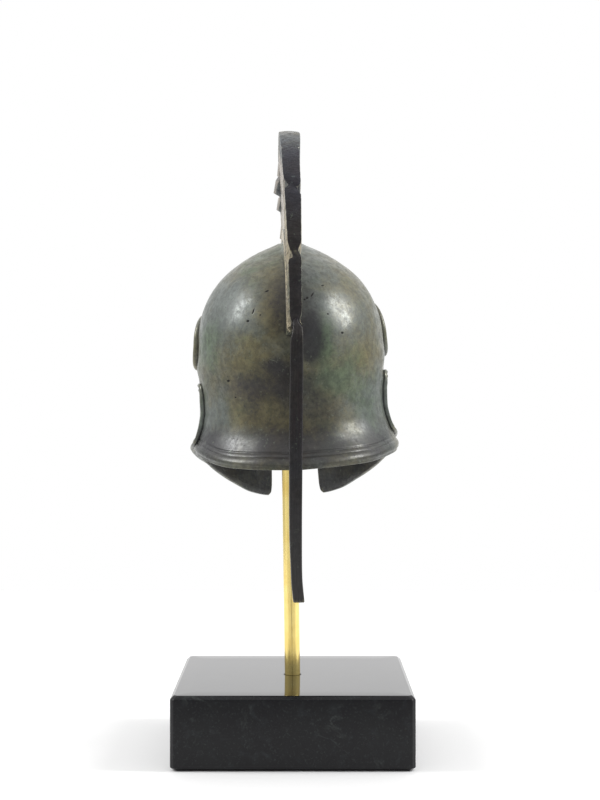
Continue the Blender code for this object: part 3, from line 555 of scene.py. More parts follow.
# The face opening, half of it, as seen from the front: up the slit between the cheek guards to the
# eye, round the eye, and down the nasal to its tip.
FACE_OPENING = np.array(
    [
        # side, height
        (14.0, -19.0), (10.7, -13.6), (9.3, -11.9), (8.9, -9.0), (8.6, -2.0), (8.0, 7.0),
        (7.7, 13.5), (8.8, 18.0), (12.5, 21.2), (18.0, 23.4), (23.2, 26.6), (20.6, 30.4),
        (15.0, 32.6), (9.5, 32.2), (5.4, 29.6), (3.5, 25.8), (3.1, 20.0), (3.9, 14.0),
        (3.0, 11.4), (0.0, 10.6),
    ],
    dtype=[("side", float), ("height", float)],
)
FACE_POINTS = 520
FACE_EDGE_SOFT = 0.5  # radius of the opening's filed edges
FACE_CUT_START = ((22.0, 0.8), (2.0, 0.8), (0.35, 0.65))  # distance out of the wall, flare
FACE_CUT_END = ((-WALL - 1.0, 0.0), (-11.0, -0.3))
FACE_CUT_SIDE = 26.0  # past this distance from the middle the cutter stops following the wall


def closed_curve(corners, count, scale=(1.0, 1.0)):
    """Evenly spread points on the smooth closed curve through a loop of corners: each coordinate is
    a smooth curve over the length run so far, carried past the loop's joint by a few rows."""
    wrapped = np.concatenate([corners[-3:], corners, corners[:4]])
    steps = np.hypot(*(np.diff(wrapped, axis=0) * scale).T)
    along = np.concatenate([[0], np.cumsum(steps)])
    start, end = along[3], along[3 + len(corners)]
    at = np.linspace(start, end, count, endpoint=False)
    return np.stack([curve_through(along, wrapped[:, k], at) for k in (0, 1)], axis=-1)


def offset_outline(outline, distance):
    """A loop moved to its outer side, along the normals of its central differences."""
    run = np.roll(outline, -1, axis=0) - np.roll(outline, 1, axis=0)
    normal = np.stack([run[:, 1], -run[:, 0]], axis=-1)
    normal /= np.linalg.norm(normal, axis=-1, keepdims=True)
    area = np.sum(outline[:, 0] * np.roll(outline[:, 1], -1) - outline[:, 1] * np.roll(outline[:, 0], -1))
    return outline + normal * (distance if area > 0 else -distance)


def face_outline():
    """The whole opening's loop, from its half and the half's mirror image."""
    half = np.stack([FACE_OPENING["side"], FACE_OPENING["height"]], axis=-1)
    whole = np.concatenate([half, (half * (-1, 1))[-2::-1]])
    return closed_curve(whole, FACE_POINTS)


def make_face_cutter():
    """The solid that cuts eyes and slit through the front wall only. It goes through rings at depths
    measured from the wall's outer face, and its edge flares there by a quarter circle."""
    outline = face_outline()
    soft = FACE_EDGE_SOFT
    bends = np.linspace(0, np.pi / 2, 6)
    edge = [(-soft * (1 - math.cos(bend)), soft * (1 - math.sin(bend))) for bend in bends]
    rings = []
    for out, flare in (*FACE_CUT_START, *edge, *FACE_CUT_END):
        ring = offset_outline(outline, flare)
        side = np.clip(ring[:, 0], -FACE_CUT_SIDE, FACE_CUT_SIDE)
        across = section_size("half_width", ring[:, 1])
        front = section_size("front", ring[:, 1])
        y = -front * np.sqrt(1 - (side / across) ** 2)
        rings.append(np.column_stack([ring[:, 0], y - out, ring[:, 1]]))
    return closed_loft("cut_face", rings)


# Each cheek guard is a raised panel: up its rear edge, forward under the temple to the eye, down
# beside the slit and back along the lower edge.
CHEEK_PANEL = np.array(
    [
        # angle from the nape in degrees, height
        (77.0, 10.4), (74.5, 16.6), (74.0, 24.0), (75.0, 28.6), (78.5, 30.6), (92.0, 30.8),
        (108.0, 30.4), (121.0, 29.0), (128.5, 26.0), (136.0, 22.4), (146.0, 20.0), (155.0, 17.2),
        (160.0, 13.0), (161.6, 6.0), (161.4, -2.0), (160.6, -9.0), (156.0, -11.0), (147.0, -8.6),
        (135.0, -4.4), (121.0, 0.8), (106.0, 5.0), (90.0, 8.0),
    ],
    dtype=[("angle", float), ("height", float)],
)
CHEEK_CENTRE = (118.0, 12.0)  # angle and height, as in the table
# Both profiles below give the height over the wall at a distance in from the ornament's border.
CHEEK_PROFILE = ((0.0, 0.55), (0.25, 0.9), (0.8, 1.3), (1.35, 0.95), (1.65, 0.65), (1.95, 0.9),
                 (2.35, 1.12), (2.8, 0.92), (3.2, 0.75), (4.0, 0.82), (9.0, 0.9))
CHEEK_STAND = {1: 1.1, -1: 1.15}  # how boldly each side's ornament stands out, +X and -X
VOLUTE_STAND = {1: 1.45, -1: 1.15}
STAND_BY_HEIGHT = {  # heights, and the share of its stand that an ornament keeps there
    "panel": ((26.0, 30.0), (1.0, 0.6)),  # filed down along its top
    "volute": ((35.3, 55.1), (1.27, 0.73)),  # tilted, so that its foot stands out further
}
SIDE_DROP = 1.0  # the +X side's ornaments sit this much lower, the -X side's this much higher
VOLUTE_CENTRE = (101.0, 45.2)
VOLUTE_RADIUS = 9.9
CHEEK_POINTS, CHEEK_ROWS, VOLUTE_POINTS, VOLUTE_ROWS = 260, 40, 120, 34
VOLUTE_PROFILE = ((0.0, 0.6), (0.3, 1.0), (0.85, 1.25), (1.5, 1.0), (1.8, 0.8), (3.2, 0.62),
                  (5.0, 0.72), (6.1, 0.85), (6.4, 1.05), (7.0, 1.25), (8.2, 1.45), (9.9, 1.5))


def border_distance(places, outline):
    """Least distance from each place to the loop's corners and sides, by dropping a foot on every
    side of the loop."""
    start, end = outline, np.roll(outline, -1, axis=0)
    run = end - start
    rel = places[:, None] - start[None]
    share = np.clip(np.sum(rel * run, axis=-1) / np.sum(run * run, axis=-1), 0, 1)
    return np.linalg.norm(rel - run * share[..., None], axis=-1).min(axis=1)


def raised_patch(name, mirror, stand, centre, outline, profile, shares):
    """An ornament cast on the bowl's wall. Its rings run from its centre out to its outline and then
    down into the wall. They are raised by the profile's height at their distance from the border,
    times the side's stand, times the share of it that the ornament keeps at their height."""
    drop = SIDE_DROP * mirror
    metric = np.array((MM_PER_DEGREE, 1.0))
    centre = np.array(centre, float)
    distances, heights = zip(*profile)
    rings = []
    for share in shares:
        at = centre + (outline - centre) * share
        away = border_distance(at * metric, outline * metric) if share < 1 else np.zeros(len(at))
        rise = curve_through(distances, heights, away) * stand * np.interp(at[:, 1], *STAND_BY_HEIGHT[name])
        rings.append(wall_point(mirror * at[:, 0], at[:, 1] - drop, rise))
    for share in (1.0, 0.6, 0.02):
        at = centre + (outline - centre) * share
        rings.append(wall_point(mirror * at[:, 0], at[:, 1] - drop, -SUNK))
    return closed_loft(name, rings)


def cheek_outline():
    """The panel's smooth loop, with its points spread evenly in millimetres."""
    corners = np.stack([CHEEK_PANEL[c] for c in ("angle", "height")], axis=-1)
    return closed_curve(corners, CHEEK_POINTS, (MM_PER_DEGREE, 1.0))


def volute_outline():
    """The volute's circle, laid round the wall by the dome's own millimetres per degree."""
    turn = np.linspace(0, 2 * np.pi, VOLUTE_POINTS, endpoint=False)
    degrees_per_mm = math.degrees(1 / section_size("front", EQUATOR))
    angle = VOLUTE_CENTRE[0] + VOLUTE_RADIUS * degrees_per_mm * np.cos(turn)
    return np.stack([angle, VOLUTE_CENTRE[1] + VOLUTE_RADIUS * np.sin(turn)], axis=-1)


def make_ornaments():
    """Both cheek panels and both temple volutes. Rings lie closer together near the borders."""
    panel_shares = 1 - np.linspace(0.995, 0, CHEEK_ROWS) ** 1.9
    volute_shares = np.linspace(0.02, 1, VOLUTE_ROWS)
    made = []
    for mirror in (1, -1):
        for name, stand, centre, outline, profile, shares in (
            ("panel", CHEEK_STAND[mirror], CHEEK_CENTRE, cheek_outline(), CHEEK_PROFILE, panel_shares),
            ("volute", VOLUTE_STAND[mirror], VOLUTE_CENTRE, volute_outline(), VOLUTE_PROFILE, volute_shares),
        ):
            made.append(raised_patch(name, mirror, stand, centre, outline, profile, shares))
    return made


BROW_BAND = np.array(
    [
        # angle from the nape in degrees, height, width
        (107.0, 41.0, 5.0), (120.0, 38.2, 5.0), (135.0, 36.6, 4.4),
        (150.0, 37.0, 4.4), (164.0, 39.6, 4.6), (180.0, 43.5, 5.6),
    ],
    dtype=[("angle", float), ("height", float), ("width", float)],
)
BROW_BAND_RISES = 6.0  # degrees over which it rises out of the wall
BROW_STATIONS = 180
BROW_PROFILE = (  # share of its half width, height over the wall
    (1.0, -SUNK), (1.0, 0.45), (0.93, 0.85), (0.8, 1.1), (0.64, 1.2), (0.5, 1.0), (0.4, 0.85), (0.2, 0.95),
    (0.0, 1.0),
)


def make_brow_band():
    """A raised band swept over the wall from temple to temple, with a bead along both edges. Its ends
    sink into the wall under the borders of the volutes."""
    start = BROW_BAND["angle"][0]
    angle = np.linspace(start, 360 - start, BROW_STATIONS)
    folded = 180 - np.abs(180 - angle)
    height = curve_through(BROW_BAND["angle"], BROW_BAND["height"], folded)
    half = curve_through(BROW_BAND["angle"], BROW_BAND["width"], folded) / 2
    risen = smooth_step(folded, start, start + BROW_BAND_RISES)
    profile = list(BROW_PROFILE) + [(-k, out) for k, out in BROW_PROFILE[-2::-1]]
    rows = [wall_point(angle, height + k * half, out * (risen if out > 0 else 1)) for k, out in profile]
    return closed_loft("band", np.stack(rows, axis=1))


# The ridge that the crest stands on runs over the dome's middle arc, where 0 degrees is at the rear,
# 90 at the crown and 180 at the brow. Its foot spreads at the crown.
RIDGE_FROM, RIDGE_TO = 0.6, 173.0
RIDGE_RISE_CROWN, RIDGE_RISE_END = 2.6, 0.7
RIDGE_PROFILE = ((0.0, 0.0), (2.3, 0.0), (3.0, -0.12), (3.3, -0.45))  # side, height over its top
RIDGE_FOOT = (  # side, height over the dome
    (4.2, 2.2), (5.2, 1.85), (7.0, 1.4), (9.0, 1.06), (11.0, 0.78), (13.5, 0.5), (16.5, 0.24), (19.5, 0.02),
)
RIDGE_FOOT_SPAN = 48.0  # degrees from the crown at which the foot no longer spreads
RIDGE_FOOT_LEAST = 0.25  # share of its spread that is left there
RIDGE_END_WIDTH = 0.72  # share of its width that it keeps at both ends
RIDGE_SUNK = -1.2
RIDGE_STATIONS = 150


def dome_point(arc, side, out):
    """Point of the dome at an angle in degrees of its middle arc, at a distance to the side of it and
    lifted off the dome: the arc's ellipse shrinks with the side as the dome's own sections do."""
    arc, side, out = np.broadcast_arrays(np.radians(arc), side, out)
    equator = SECTIONS[0]
    shrink = np.sqrt(1 - (side / equator["half_width"]) ** 2)
    length = np.where(np.cos(arc) > 0, equator["rear"], equator["front"])
    y = (length * shrink + out) * np.cos(arc)
    z = EQUATOR + (CROWN_RISE * shrink + out) * np.sin(arc)
    return np.stack([side, y, z], axis=-1)


def ridge_rise(arc):
    """Height of the ridge's flat top over the dome: a squared sine with its peak at the crown."""
    hump = np.clip(np.sin(np.radians(arc)), 0, 1) ** 2
    return RIDGE_RISE_END + (RIDGE_RISE_CROWN - RIDGE_RISE_END) * hump


def make_ridge():
    """The ridge as one swept solid, sunk a little into the dome all along."""
    arc = np.linspace(RIDGE_FROM, RIDGE_TO, RIDGE_STATIONS)
    rise = ridge_rise(arc)
    spread = np.cos(np.clip(np.abs(arc - 90) / RIDGE_FOOT_SPAN, 0, 1) * np.pi / 2) ** 2
    kept = RIDGE_FOOT_LEAST + (1 - RIDGE_FOOT_LEAST) * spread
    edge = RIDGE_PROFILE[-1][0]
    slim = RIDGE_END_WIDTH + (1 - RIDGE_END_WIDTH) * spread
    half = [(side * slim, rise + under) for side, under in RIDGE_PROFILE]
    for side, up in RIDGE_FOOT:
        half.append((edge * slim + (side - edge) * kept, up * spread + RIDGE_SUNK / 2 * (1 - spread)))
    half.append((half[-1][0] + 0.5, np.full_like(arc, RIDGE_SUNK)))
    half.append((half[-1][0] / 2, np.full_like(arc, RIDGE_SUNK)))
    profile = half + [(-side, out) for side, out in half[:0:-1]]
    return closed_loft("ridge", np.stack([dome_point(arc, side, out) for side, out in profile], axis=1))


BOSS_RADIUS, BOSS_FOOT, BOSS_TOP = 5.0, 135.5, 147.0  # ends along the rod's axis
BOSS_BORE, BOSS_BORE_TOP = 2.95, 142.3
OVERRUN = 5.0  # how far the bore starts under the boss
BAR_COLUMNS = 64


def round_bar(name, radius, foot, top):
    """Plain cylinder on the rod's axis."""
    turn = np.linspace(0, 2 * np.pi, BAR_COLUMNS, endpoint=False)
    rows = [(DOT, foot), (radius, foot), (radius, (foot + top) / 2), (radius, top), (DOT, top)]
    return closed_loft(name, [rod_point(r, turn, np.full(BAR_COLUMNS, a)) for r, a in rows])


def lean(obj, shift_x, lean_angle, turn_angle):
    """Leans a mesh about y at the pivot's level, turns it about z, and lifts it to the rim's height."""
    points = np.empty(len(obj.data.vertices) * 3, np.float32)
    obj.data.vertices.foreach_get("co", points)
    p = points.reshape(-1, 3).astype(float) / MM
    p[:, 2] -= PIVOT_HEIGHT
    cos, sin = math.cos(lean_angle), math.sin(lean_angle)
    x, y, z = p[:, 0] * cos + p[:, 2] * sin, p[:, 1], -p[:, 0] * sin + p[:, 2] * cos
    cos, sin = math.cos(turn_angle), math.sin(turn_angle)
    p = np.column_stack([x * cos - y * sin, x * sin + y * cos, z])
    p += (shift_x, 0, RIM_HEIGHT + PIVOT_HEIGHT)
    obj.data.vertices.foreach_set("co", (p * MM).astype(np.float32).ravel())
    obj.data.update()


SLIVER = 0.0005  # points closer together than this are made one, which takes out slivers


def merged(base, operation, others):
    """Joins others to a casting, or cuts them out of it, and keeps the finished mesh without the
    slivers of no area that the cut leaves."""
    for other in others:
        modifier = base.modifiers.new(other.name, "BOOLEAN")
        modifier.operation, modifier.object, modifier.solver = operation, other, "MANIFOLD"
    bpy.context.view_layer.update()
    done = bpy.data.meshes.new_from_object(base.evaluated_get(bpy.context.evaluated_depsgraph_get()))
    base.modifiers.clear()
    clean = bmesh.new()
    clean.from_mesh(done)
    bmesh.ops.remove_doubles(clean, verts=clean.verts, dist=SLIVER * MM)
    bmesh.ops.dissolve_degenerate(clean, edges=clean.edges, dist=SLIVER * MM)
    clean.to_mesh(done)
    clean.free()
    base.data = done
    for other in others:
        bpy.data.objects.remove(other)


bowl = make_bowl_shell()
ornaments = [*make_ornaments(), make_brow_band()]
face_cutter = make_face_cutter()
for obj in (bowl, face_cutter, *ornaments):
    lean(obj, HELMET_SHIFT_X, HELMET_LEAN, HELMET_TURN)
ridge = make_ridge()
lean(ridge, CREST_SHIFT_X, CREST_LEAN, CREST_TURN)
boss = round_bar("boss", BOSS_RADIUS, BOSS_FOOT, BOSS_TOP)
bore = round_bar("bore", BOSS_BORE, BOSS_FOOT - OVERRUN, BOSS_BORE_TOP)
merged(bowl, "UNION", [*ornaments, ridge, boss])
merged(bowl, "DIFFERENCE", [face_cutter, bore])


def skin(obj):
    """Places in millimetres and unit normals of all of a mesh's vertices."""
    mesh = obj.data
    points, normals = np.empty((2, len(mesh.vertices) * 3), np.float32)
    mesh.vertices.foreach_get("co", points)
    mesh.vertex_normals.foreach_get("vector", normals)
    return points.reshape(-1, 3) / MM, normals.reshape(-1, 3)


def store(obj, name, values):
    """Keeps one value per vertex as a named attribute."""
    obj.data.attributes.new(name, "FLOAT", "POINT").data.foreach_set("value", values.astype(np.float32))


MOST_BEND = 1.5
BEND_ROUNDS = 2


def surface_bend(obj):
    """How strongly the skin bends at each vertex, in 1/mm, positive over edges: the sum over its
    neighbours of their depth under its tangent plane, divided by the sum of their squared distances,
    and then averaged with the neighbours' values a few times. It is kept as an attribute too."""
    points, normals = skin(obj)
    count = len(points)
    edges = np.empty(len(obj.data.edges) * 2, np.int32)
    obj.data.edges.foreach_get("vertices", edges)
    a, b = np.concatenate([edges.reshape(-1, 2), edges.reshape(-1, 2)[:, ::-1]]).T
    step = points[b] - points[a]
    depth = np.bincount(a, -np.einsum("ij,ij->i", normals[a], step), count)
    square = np.bincount(a, np.einsum("ij,ij->i", step, step), count)
    bend = np.clip(depth / (square + 1e-9), -MOST_BEND, MOST_BEND)
    around = np.bincount(a, minlength=count) + 1.0
    for _ in range(BEND_ROUNDS):
        bend = (bend + np.bincount(a, bend[b], count)) / around
    store(obj, "bend", bend)
    return bend


# Stains of the bowl's rear as charted, with rows of painted shade and painted light among them: middle, half
# width and half height, and how warm (brown above 0, slate grey below), green and dark each one is.
STAINS_SHADE_AND_LIGHT = np.array(
    [
        # x, z, across, up, warm, green, dark
        (24.0, 151.0, 9.0, 11.0, -0.9, 0.0, 0.0),
        (28.5, 139.0, 5.0, 9.0, -0.2, 0.9, 0.0),
        (15.0, 137.0, 9.0, 8.0, 0.9, 0.1, -0.2),
        (5.5, 148.0, 3.6, 9.0, 1.0, -0.2, 0.45),
        (-6.0, 160.0, 6.0, 8.0, -0.6, 0.5, 0.2),
        # Painted shade deepens this dark green-black patch right of the tail.
        (-6.3, 141.0, 4.2, 9.0, -0.4, 0.2, 1.6),
        (-10.5, 140.0, 2.6, 7.0, 0.0, 1.1, 0.0),
        # Lighter where the right lamp's highlight falls: a painted highlight over a warm stain.
        (-17.0, 147.0, 5.0, 7.0, 0.2, 0.0, -0.3),
        (-20.5, 135.5, 6.0, 5.0, 0.7, 0.3, 0.0),
        (-14.0, 127.0, 6.0, 5.0, -0.2, 0.9, 0.1),
        (-24.0, 122.0, 7.0, 8.0, -0.5, 0.4, 0.0),
        # A brown stain, deepened by painted shade under the dome's bulge.
        (14.0, 123.5, 7.0, 6.0, 0.8, 0.1, 0.5),
        (12.5, 117.0, 4.0, 4.5, 1.2, 0.0, 0.5),
        (5.0, 114.5, 4.0, 6.0, 0.7, 0.3, 0.2),
        # Painted shade under the dome's bulge, beside the tail.
        (2.5, 125.0, 4.0, 6.0, -0.2, 0.0, 0.8),
        # Painted shade across the neck under the dome's bulge.
        (-8.5, 119.5, 7.0, 7.5, 0.1, 0.1, 0.8),
        (-10.0, 109.5, 5.0, 5.0, 0.4, 0.3, 0.2),
        (27.0, 115.0, 6.0, 10.0, -0.6, 0.0, 0.0),
        (9.0, 166.0, 9.0, 6.0, 0.4, 0.4, 0.0),
        # Painted shade in the nape's +X dent, not a stain.
        (6.5, 132.0, 5.0, 2.4, -0.3, 0.0, 0.8),
        # Painted light in the nape's -X dent, not a stain.
        (-6.5, 131.5, 5.0, 2.0, 0.2, 0.0, -0.6),
        (20.0, 106.5, 9.0, 3.0, -0.5, 0.2, 0.0),
        # Painted shade across the neck under the dome's bulge.
        (12.0, 126.0, 11.0, 5.5, 0.2, 0.1, 0.8),
        # Painted shade beside and under the tail.
        (0.0, 141.0, 7.5, 20.0, 0.0, 0.0, 0.5),
        # Painted shade at the crest's foot, above the tail.
        (1.0, 157.0, 9.0, 8.0, 0.1, 0.0, 0.75),
        (26.0, 106.0, 9.0, 6.0, 0.0, 0.0, 0.5),
        (-24.0, 105.0, 10.0, 5.0, 0.0, 0.0, 0.5),
        # Painted shade across the neck's middle behind the tail.
        (3.0, 106.0, 14.0, 7.0, 0.1, 0.1, 1.35),
        (-14.0, 106.0, 9.0, 6.0, -0.1, 0.2, 0.5),
        (28.0, 106.5, 7.0, 6.0, -0.3, 0.2, 0.75),
        (27.0, 126.0, 6.0, 6.0, 0.3, 0.2, 0.4),
        (-29.0, 107.5, 6.0, 6.0, -0.3, 0.2, 0.6),
        (-24.0, 116.0, 6.0, 6.0, -0.2, 0.3, 0.3),
        (0.0, 101.0, 42.0, 4.0, 0.0, 0.1, 0.4),
        (33.0, 116.0, 2.6, 14.0, -0.3, 0.2, 0.2),
        (-33.5, 118.0, 2.6, 14.0, -0.3, 0.2, 0.4),
    ],
    dtype=[(c, float) for c in ("x", "z", "across", "up", "warm", "green", "dark")],
)

# Casting pores of the same side: middle, half length, half width, and how far each one is turned.
PORES = (
    # x, z, length, width, turn_deg
    (8.5, 156.4, 0.75, 0.30, 20.0),
    (12.9, 149.7, 1.15, 0.28, 68.0),
    (14.7, 146.5, 0.55, 0.42, 10.0),
    (10.6, 148.4, 0.35, 0.25, 0.0),
    (-4.6, 154.0, 0.55, 0.40, 30.0),
    (-3.8, 153.5, 0.35, 0.30, 0.0),
    (-6.3, 155.2, 1.05, 0.30, 58.0),
    (-11.4, 148.8, 0.35, 0.28, 0.0),
    (-16.2, 142.7, 0.50, 0.42, 0.0),
    (21.4, 127.0, 0.55, 0.45, 0.0),
    (19.0, 121.5, 0.30, 0.28, 0.0),
    (-9.8, 158.5, 0.60, 0.25, 15.0),
)


SLATE, BROWN, GREEN, BLACK = colour(92, 98, 94), colour(99, 93, 65), colour(77, 93, 69), colour(23, 18, 28)
BLOOM = colour(122, 130, 112)  # the pale film that the acid leaves
WORN, GOLD = colour(142, 138, 114), colour(177, 166, 141)  # an edge worn thin, and bare metal
PATINA_SHARES = ("Warm", "Green", "Dark", "Bend", "Rubbed")  # each one an attribute of the mesh


def make_patina():
    """Group for brushed-on patina under wax, whose dark share also carries the painted shade and light
    that the bowl's attributes hold. Slow noises shift each stain between slate and brown, green and not,
    dark and not; a finer one speckles it. Edges, where the bend is positive, are rubbed back to the metal,
    and hollows stay dark."""
    group = bpy.data.node_groups.new("patina", "ShaderNodeTree")
    group.interface.new_socket("Place", in_out="INPUT", socket_type="NodeSocketVector")
    for name in PATINA_SHARES:
        group.interface.new_socket(name, in_out="INPUT", socket_type="NodeSocketFloat")
    group.interface.new_socket("Color", in_out="OUTPUT", socket_type="NodeSocketColor")
    for name in ("Roughness", "Metallic", "Height"):
        group.interface.new_socket(name, in_out="OUTPUT", socket_type="NodeSocketFloat")
    n = Nodes(group)
    given = group.nodes.new("NodeGroupInput").outputs
    made = group.nodes.new("NodeGroupOutput").inputs
    at = given["Place"]
    # The noises are read at two places far apart, so that the stains' kinds don't follow each other.
    aside = n.add("ShaderNodeVectorMath", {"operation": "ADD"}, i0=at, i1=(0.31, 0.17, 0.23)).outputs[0]
    wide, wide_aside = n.noise(at, 42.0, 3.0, 0.6, 0.5), n.noise(aside, 58.0, 3.0, 0.6, 0.5)
    cloud, cloud_aside = n.noise(at, 170.0, 4.0, 0.65, 0.4), n.noise(aside, 210.0, 4.0, 0.65, 0.4)
    speckle = n.noise(at, 950.0, 3.0, 0.6)
    grain = n.noise(aside, 2600.0, 2.0, 0.6)
    mottle = n.noise(aside, 430.0, 4.0, 0.7, 0.3)

    def stained(amount, *noises):
        """An amount plus each noise's distance from its middle value times a weight."""
        for noise, weight in noises:
            amount = n.math("ADD", amount, n.math("MULTIPLY", n.math("SUBTRACT", noise, 0.5), weight))
        return amount

    warm = n.ramp(stained(given["Warm"], (wide, 2.2), (cloud, 1.2), (speckle, 0.9)), -0.75, 0.85)
    green = n.ramp(stained(given["Green"], (wide_aside, 2.2), (cloud_aside, 1.2), (speckle, 0.9)), 0.0, 1.15)
    dark = n.ramp(stained(given["Dark"], (cloud, -0.7), (cloud_aside, 0.8), (speckle, 1.3)), 0.0, 1.35)

    # The stains, one over the other, mottled and speckled, then black dots and pale bloom.
    tone = n.mix(warm, SLATE, BROWN)
    tone = n.mix(n.math("MULTIPLY", green, 0.8), tone, GREEN)
    # The dark share darkens towards black: on the bowl dark stains and painted shade, with painted light
    # where it is below nothing, and on the crest its blackening.
    tone = n.mix(n.math("MULTIPLY", dark, 0.85), tone, BLACK)
    tone = n.mix(1.0, tone, n.ramp(mottle, 0.34, 0.66, 0.72, 1.26), "MULTIPLY")
    tone = n.mix(1.0, tone, n.ramp(speckle, 0.30, 0.70, 0.82, 1.16), "MULTIPLY")
    dots = n.ramp(n.math("ADD", speckle, n.math("MULTIPLY", grain, 0.3)), 0.72, 0.88)
    tone = n.mix(n.math("MULTIPLY", dots, 0.38), tone, BLACK)
    bloom = n.ramp(n.math("ADD", speckle, n.math("MULTIPLY", cloud, 0.5)), 0.62, 0.50)
    tone = n.mix(n.math("MULTIPLY", bloom, 0.28), tone, BLOOM)

    # Dark hollows, edges worn thin, and faces rubbed back to the metal.
    hollow = n.ramp(n.math("MULTIPLY", given["Bend"], -1.0), 0.03, 0.22)
    tone = n.mix(n.math("MULTIPLY", hollow, 0.6), tone, BLACK)
    edge = n.ramp(stained(given["Bend"], (cloud, 0.16), (speckle, 0.10)), 0.06, 0.30)
    tone = n.mix(n.math("MULTIPLY", edge, 0.4), tone, WORN)
    rubbed = n.ramp(stained(given["Rubbed"], (cloud, 0.5), (speckle, 0.5), (grain, 0.3)), 0.25, 0.8)
    tone = n.mix(rubbed, tone, GOLD)
    n.feed(made["Color"], tone)

    # Green stains and dots are duller, and bare metal shows more of itself. Dots are sunk a little.
    rough = n.math("ADD", n.ramp(cloud, 0.25, 0.75, 0.30, 0.38), n.math("MULTIPLY", green, 0.06))
    rough = n.math("ADD", rough, n.math("MULTIPLY", dots, 0.12))
    rough = n.math("ADD", rough, n.ramp(mottle, 0.34, 0.66, 0.06, -0.05))
    n.feed(made["Roughness"], n.math("SUBTRACT", rough, n.math("MULTIPLY", edge, 0.04)))
    bare = n.math("MAXIMUM", n.math("MULTIPLY", edge, 0.5), rubbed)
    covered = n.ramp(dark, 0.0, 1.0, 0.15, 0.08)
    n.feed(made["Metallic"], n.math("ADD", n.math("MULTIPLY", bare, 0.6), covered))
    height = n.math("ADD", n.math("MULTIPLY", speckle, 0.6), n.math("MULTIPLY", cloud, 0.8))
    height = n.math("ADD", height, n.math("MULTIPLY", grain, 0.25))
    n.feed(made["Height"], n.math("SUBTRACT", height, n.math("MULTIPLY", dots, 0.35)))
    return group


def patina_on(n, shader, group):
    """Adds the patina to a material, fed by the mesh's own attributes, and returns its node."""
    node = n.add("ShaderNodeGroup", {"node_tree": group})
    n.feed(node.inputs["Place"], n.place())
    for name in PATINA_SHARES:
        share = n.add("ShaderNodeAttribute", {"attribute_name": name.lower()}).outputs["Fac"]
        n.feed(node.inputs[name], share)
    n.feed(shader.inputs["Roughness"], node.outputs["Roughness"])
    n.feed(shader.inputs["Metallic"], node.outputs["Metallic"])
    return node


PORE_EDGE = (0.55, 1.25)  # shares of its size between which a pore ends
PORE_THROUGH = 10.0  # its size from front to rear, so large that it doesn't count
PORES_FROM = (0.010, 0.014)  # places from front to rear between which the pores come in


def pore_mask(n, where, rows):
    """One over the pores, each an ellipse in the x-z plane, and nothing on the helmet's front."""
    pores = None
    for x, z, length, width, turn in rows:
        inside = n.add("ShaderNodeMapping", {"vector_type": "TEXTURE"}, Vector=where,
                       Location=(x * MM, 0, z * MM), Rotation=(0, math.radians(turn), 0),
                       Scale=(length * MM, PORE_THROUGH, width * MM)).outputs[0]
        away = n.add("ShaderNodeVectorMath", {"operation": "LENGTH"}, i0=inside).outputs["Value"]
        pore = n.ramp(away, *PORE_EDGE, 1.0, 0.0)
        pores = pore if pores is None else n.math("MAXIMUM", pores, pore)
    y = n.add("ShaderNodeSeparateXYZ", None, Vector=where).outputs[1]
    return n.math("MULTIPLY", pores, n.ramp(y, *PORES_FROM))


PORE_DARK = colour(10, 9, 9)
BOWL_WAX, CREST_WAX = 1.5, 1.31  # the wax's shine, as its index: the crest's is thinner


def make_bowl_bronze(group):
    """Patina, with the painted shade and light that the bowl's attributes carry, and the dark sunken pores
    of the rear.
    """
    material, shader = new_material("patinated_bronze_bowl", 0.34, 0.75)
    shader.inputs["IOR"].default_value = BOWL_WAX
    n = Nodes(material.node_tree)
    patina = patina_on(n, shader, group)
    pores = pore_mask(n, n.add("ShaderNodeTexCoord").outputs["Object"], PORES)
    n.feed(shader.inputs["Base Color"], n.mix(pores, patina.outputs["Color"], PORE_DARK))
    rough = n.math("ADD", patina.outputs["Roughness"], n.math("MULTIPLY", pores, 0.5))
    n.feed(shader.inputs["Roughness"], rough)
    height = n.math("SUBTRACT", patina.outputs["Height"], n.math("MULTIPLY", pores, 1.2))
    bump = n.add("ShaderNodeBump", None, Strength=0.35, Distance=0.00012, Height=height)
    n.feed(shader.inputs["Normal"], bump.outputs[0])
    return material


STAINS_SHADE_AND_LIGHT_FROM = (-2.0, 9.0)  # places from front to rear between which the stains and the painted shade and light come in
INWARD = (0.3, 0.7)  # how far a wall looks inwards
INSIDE_DARK, INSIDE_TOP = 1.0, 140.0  # how much painted shade darkens the inner wall, and up to what level


def stain_shade_and_light(obj):
    """Adds up the soft bells of the stains and of the painted shade and light on the bowl's rear into
    three attributes. Walls that look in towards the bowl's axis are darker, as painted shade."""
    points, normals = skin(obj)
    x, y, z = points.T
    total = {name: np.zeros(len(x)) for name in ("warm", "green", "dark")}
    rear = smooth_step(y, *STAINS_SHADE_AND_LIGHT_FROM)
    for row in STAINS_SHADE_AND_LIGHT:
        near = bell(np.hypot((x - row["x"]) / row["across"], (z - row["z"]) / row["up"]), 1.0) * rear
        for name, sums in total.items():
            sums += row[name] * near
    # Painted shade: walls that look in towards the bowl's axis, inside the bowl and the cheek guards, are
    # darkened below INSIDE_TOP, over a darker inside patina.
    inward = smooth_step(-(normals[:, 0] * x + normals[:, 1] * y) / np.hypot(x, y), *INWARD)
    total["dark"] += INSIDE_DARK * inward * (z < INSIDE_TOP)
    for name, sums in total.items():
        store(obj, name, sums)


surface_bend(bowl)
stain_shade_and_light(bowl)
patina = make_patina()
finish_piece(bowl, make_bowl_bronze(patina), "helmet_bowl")

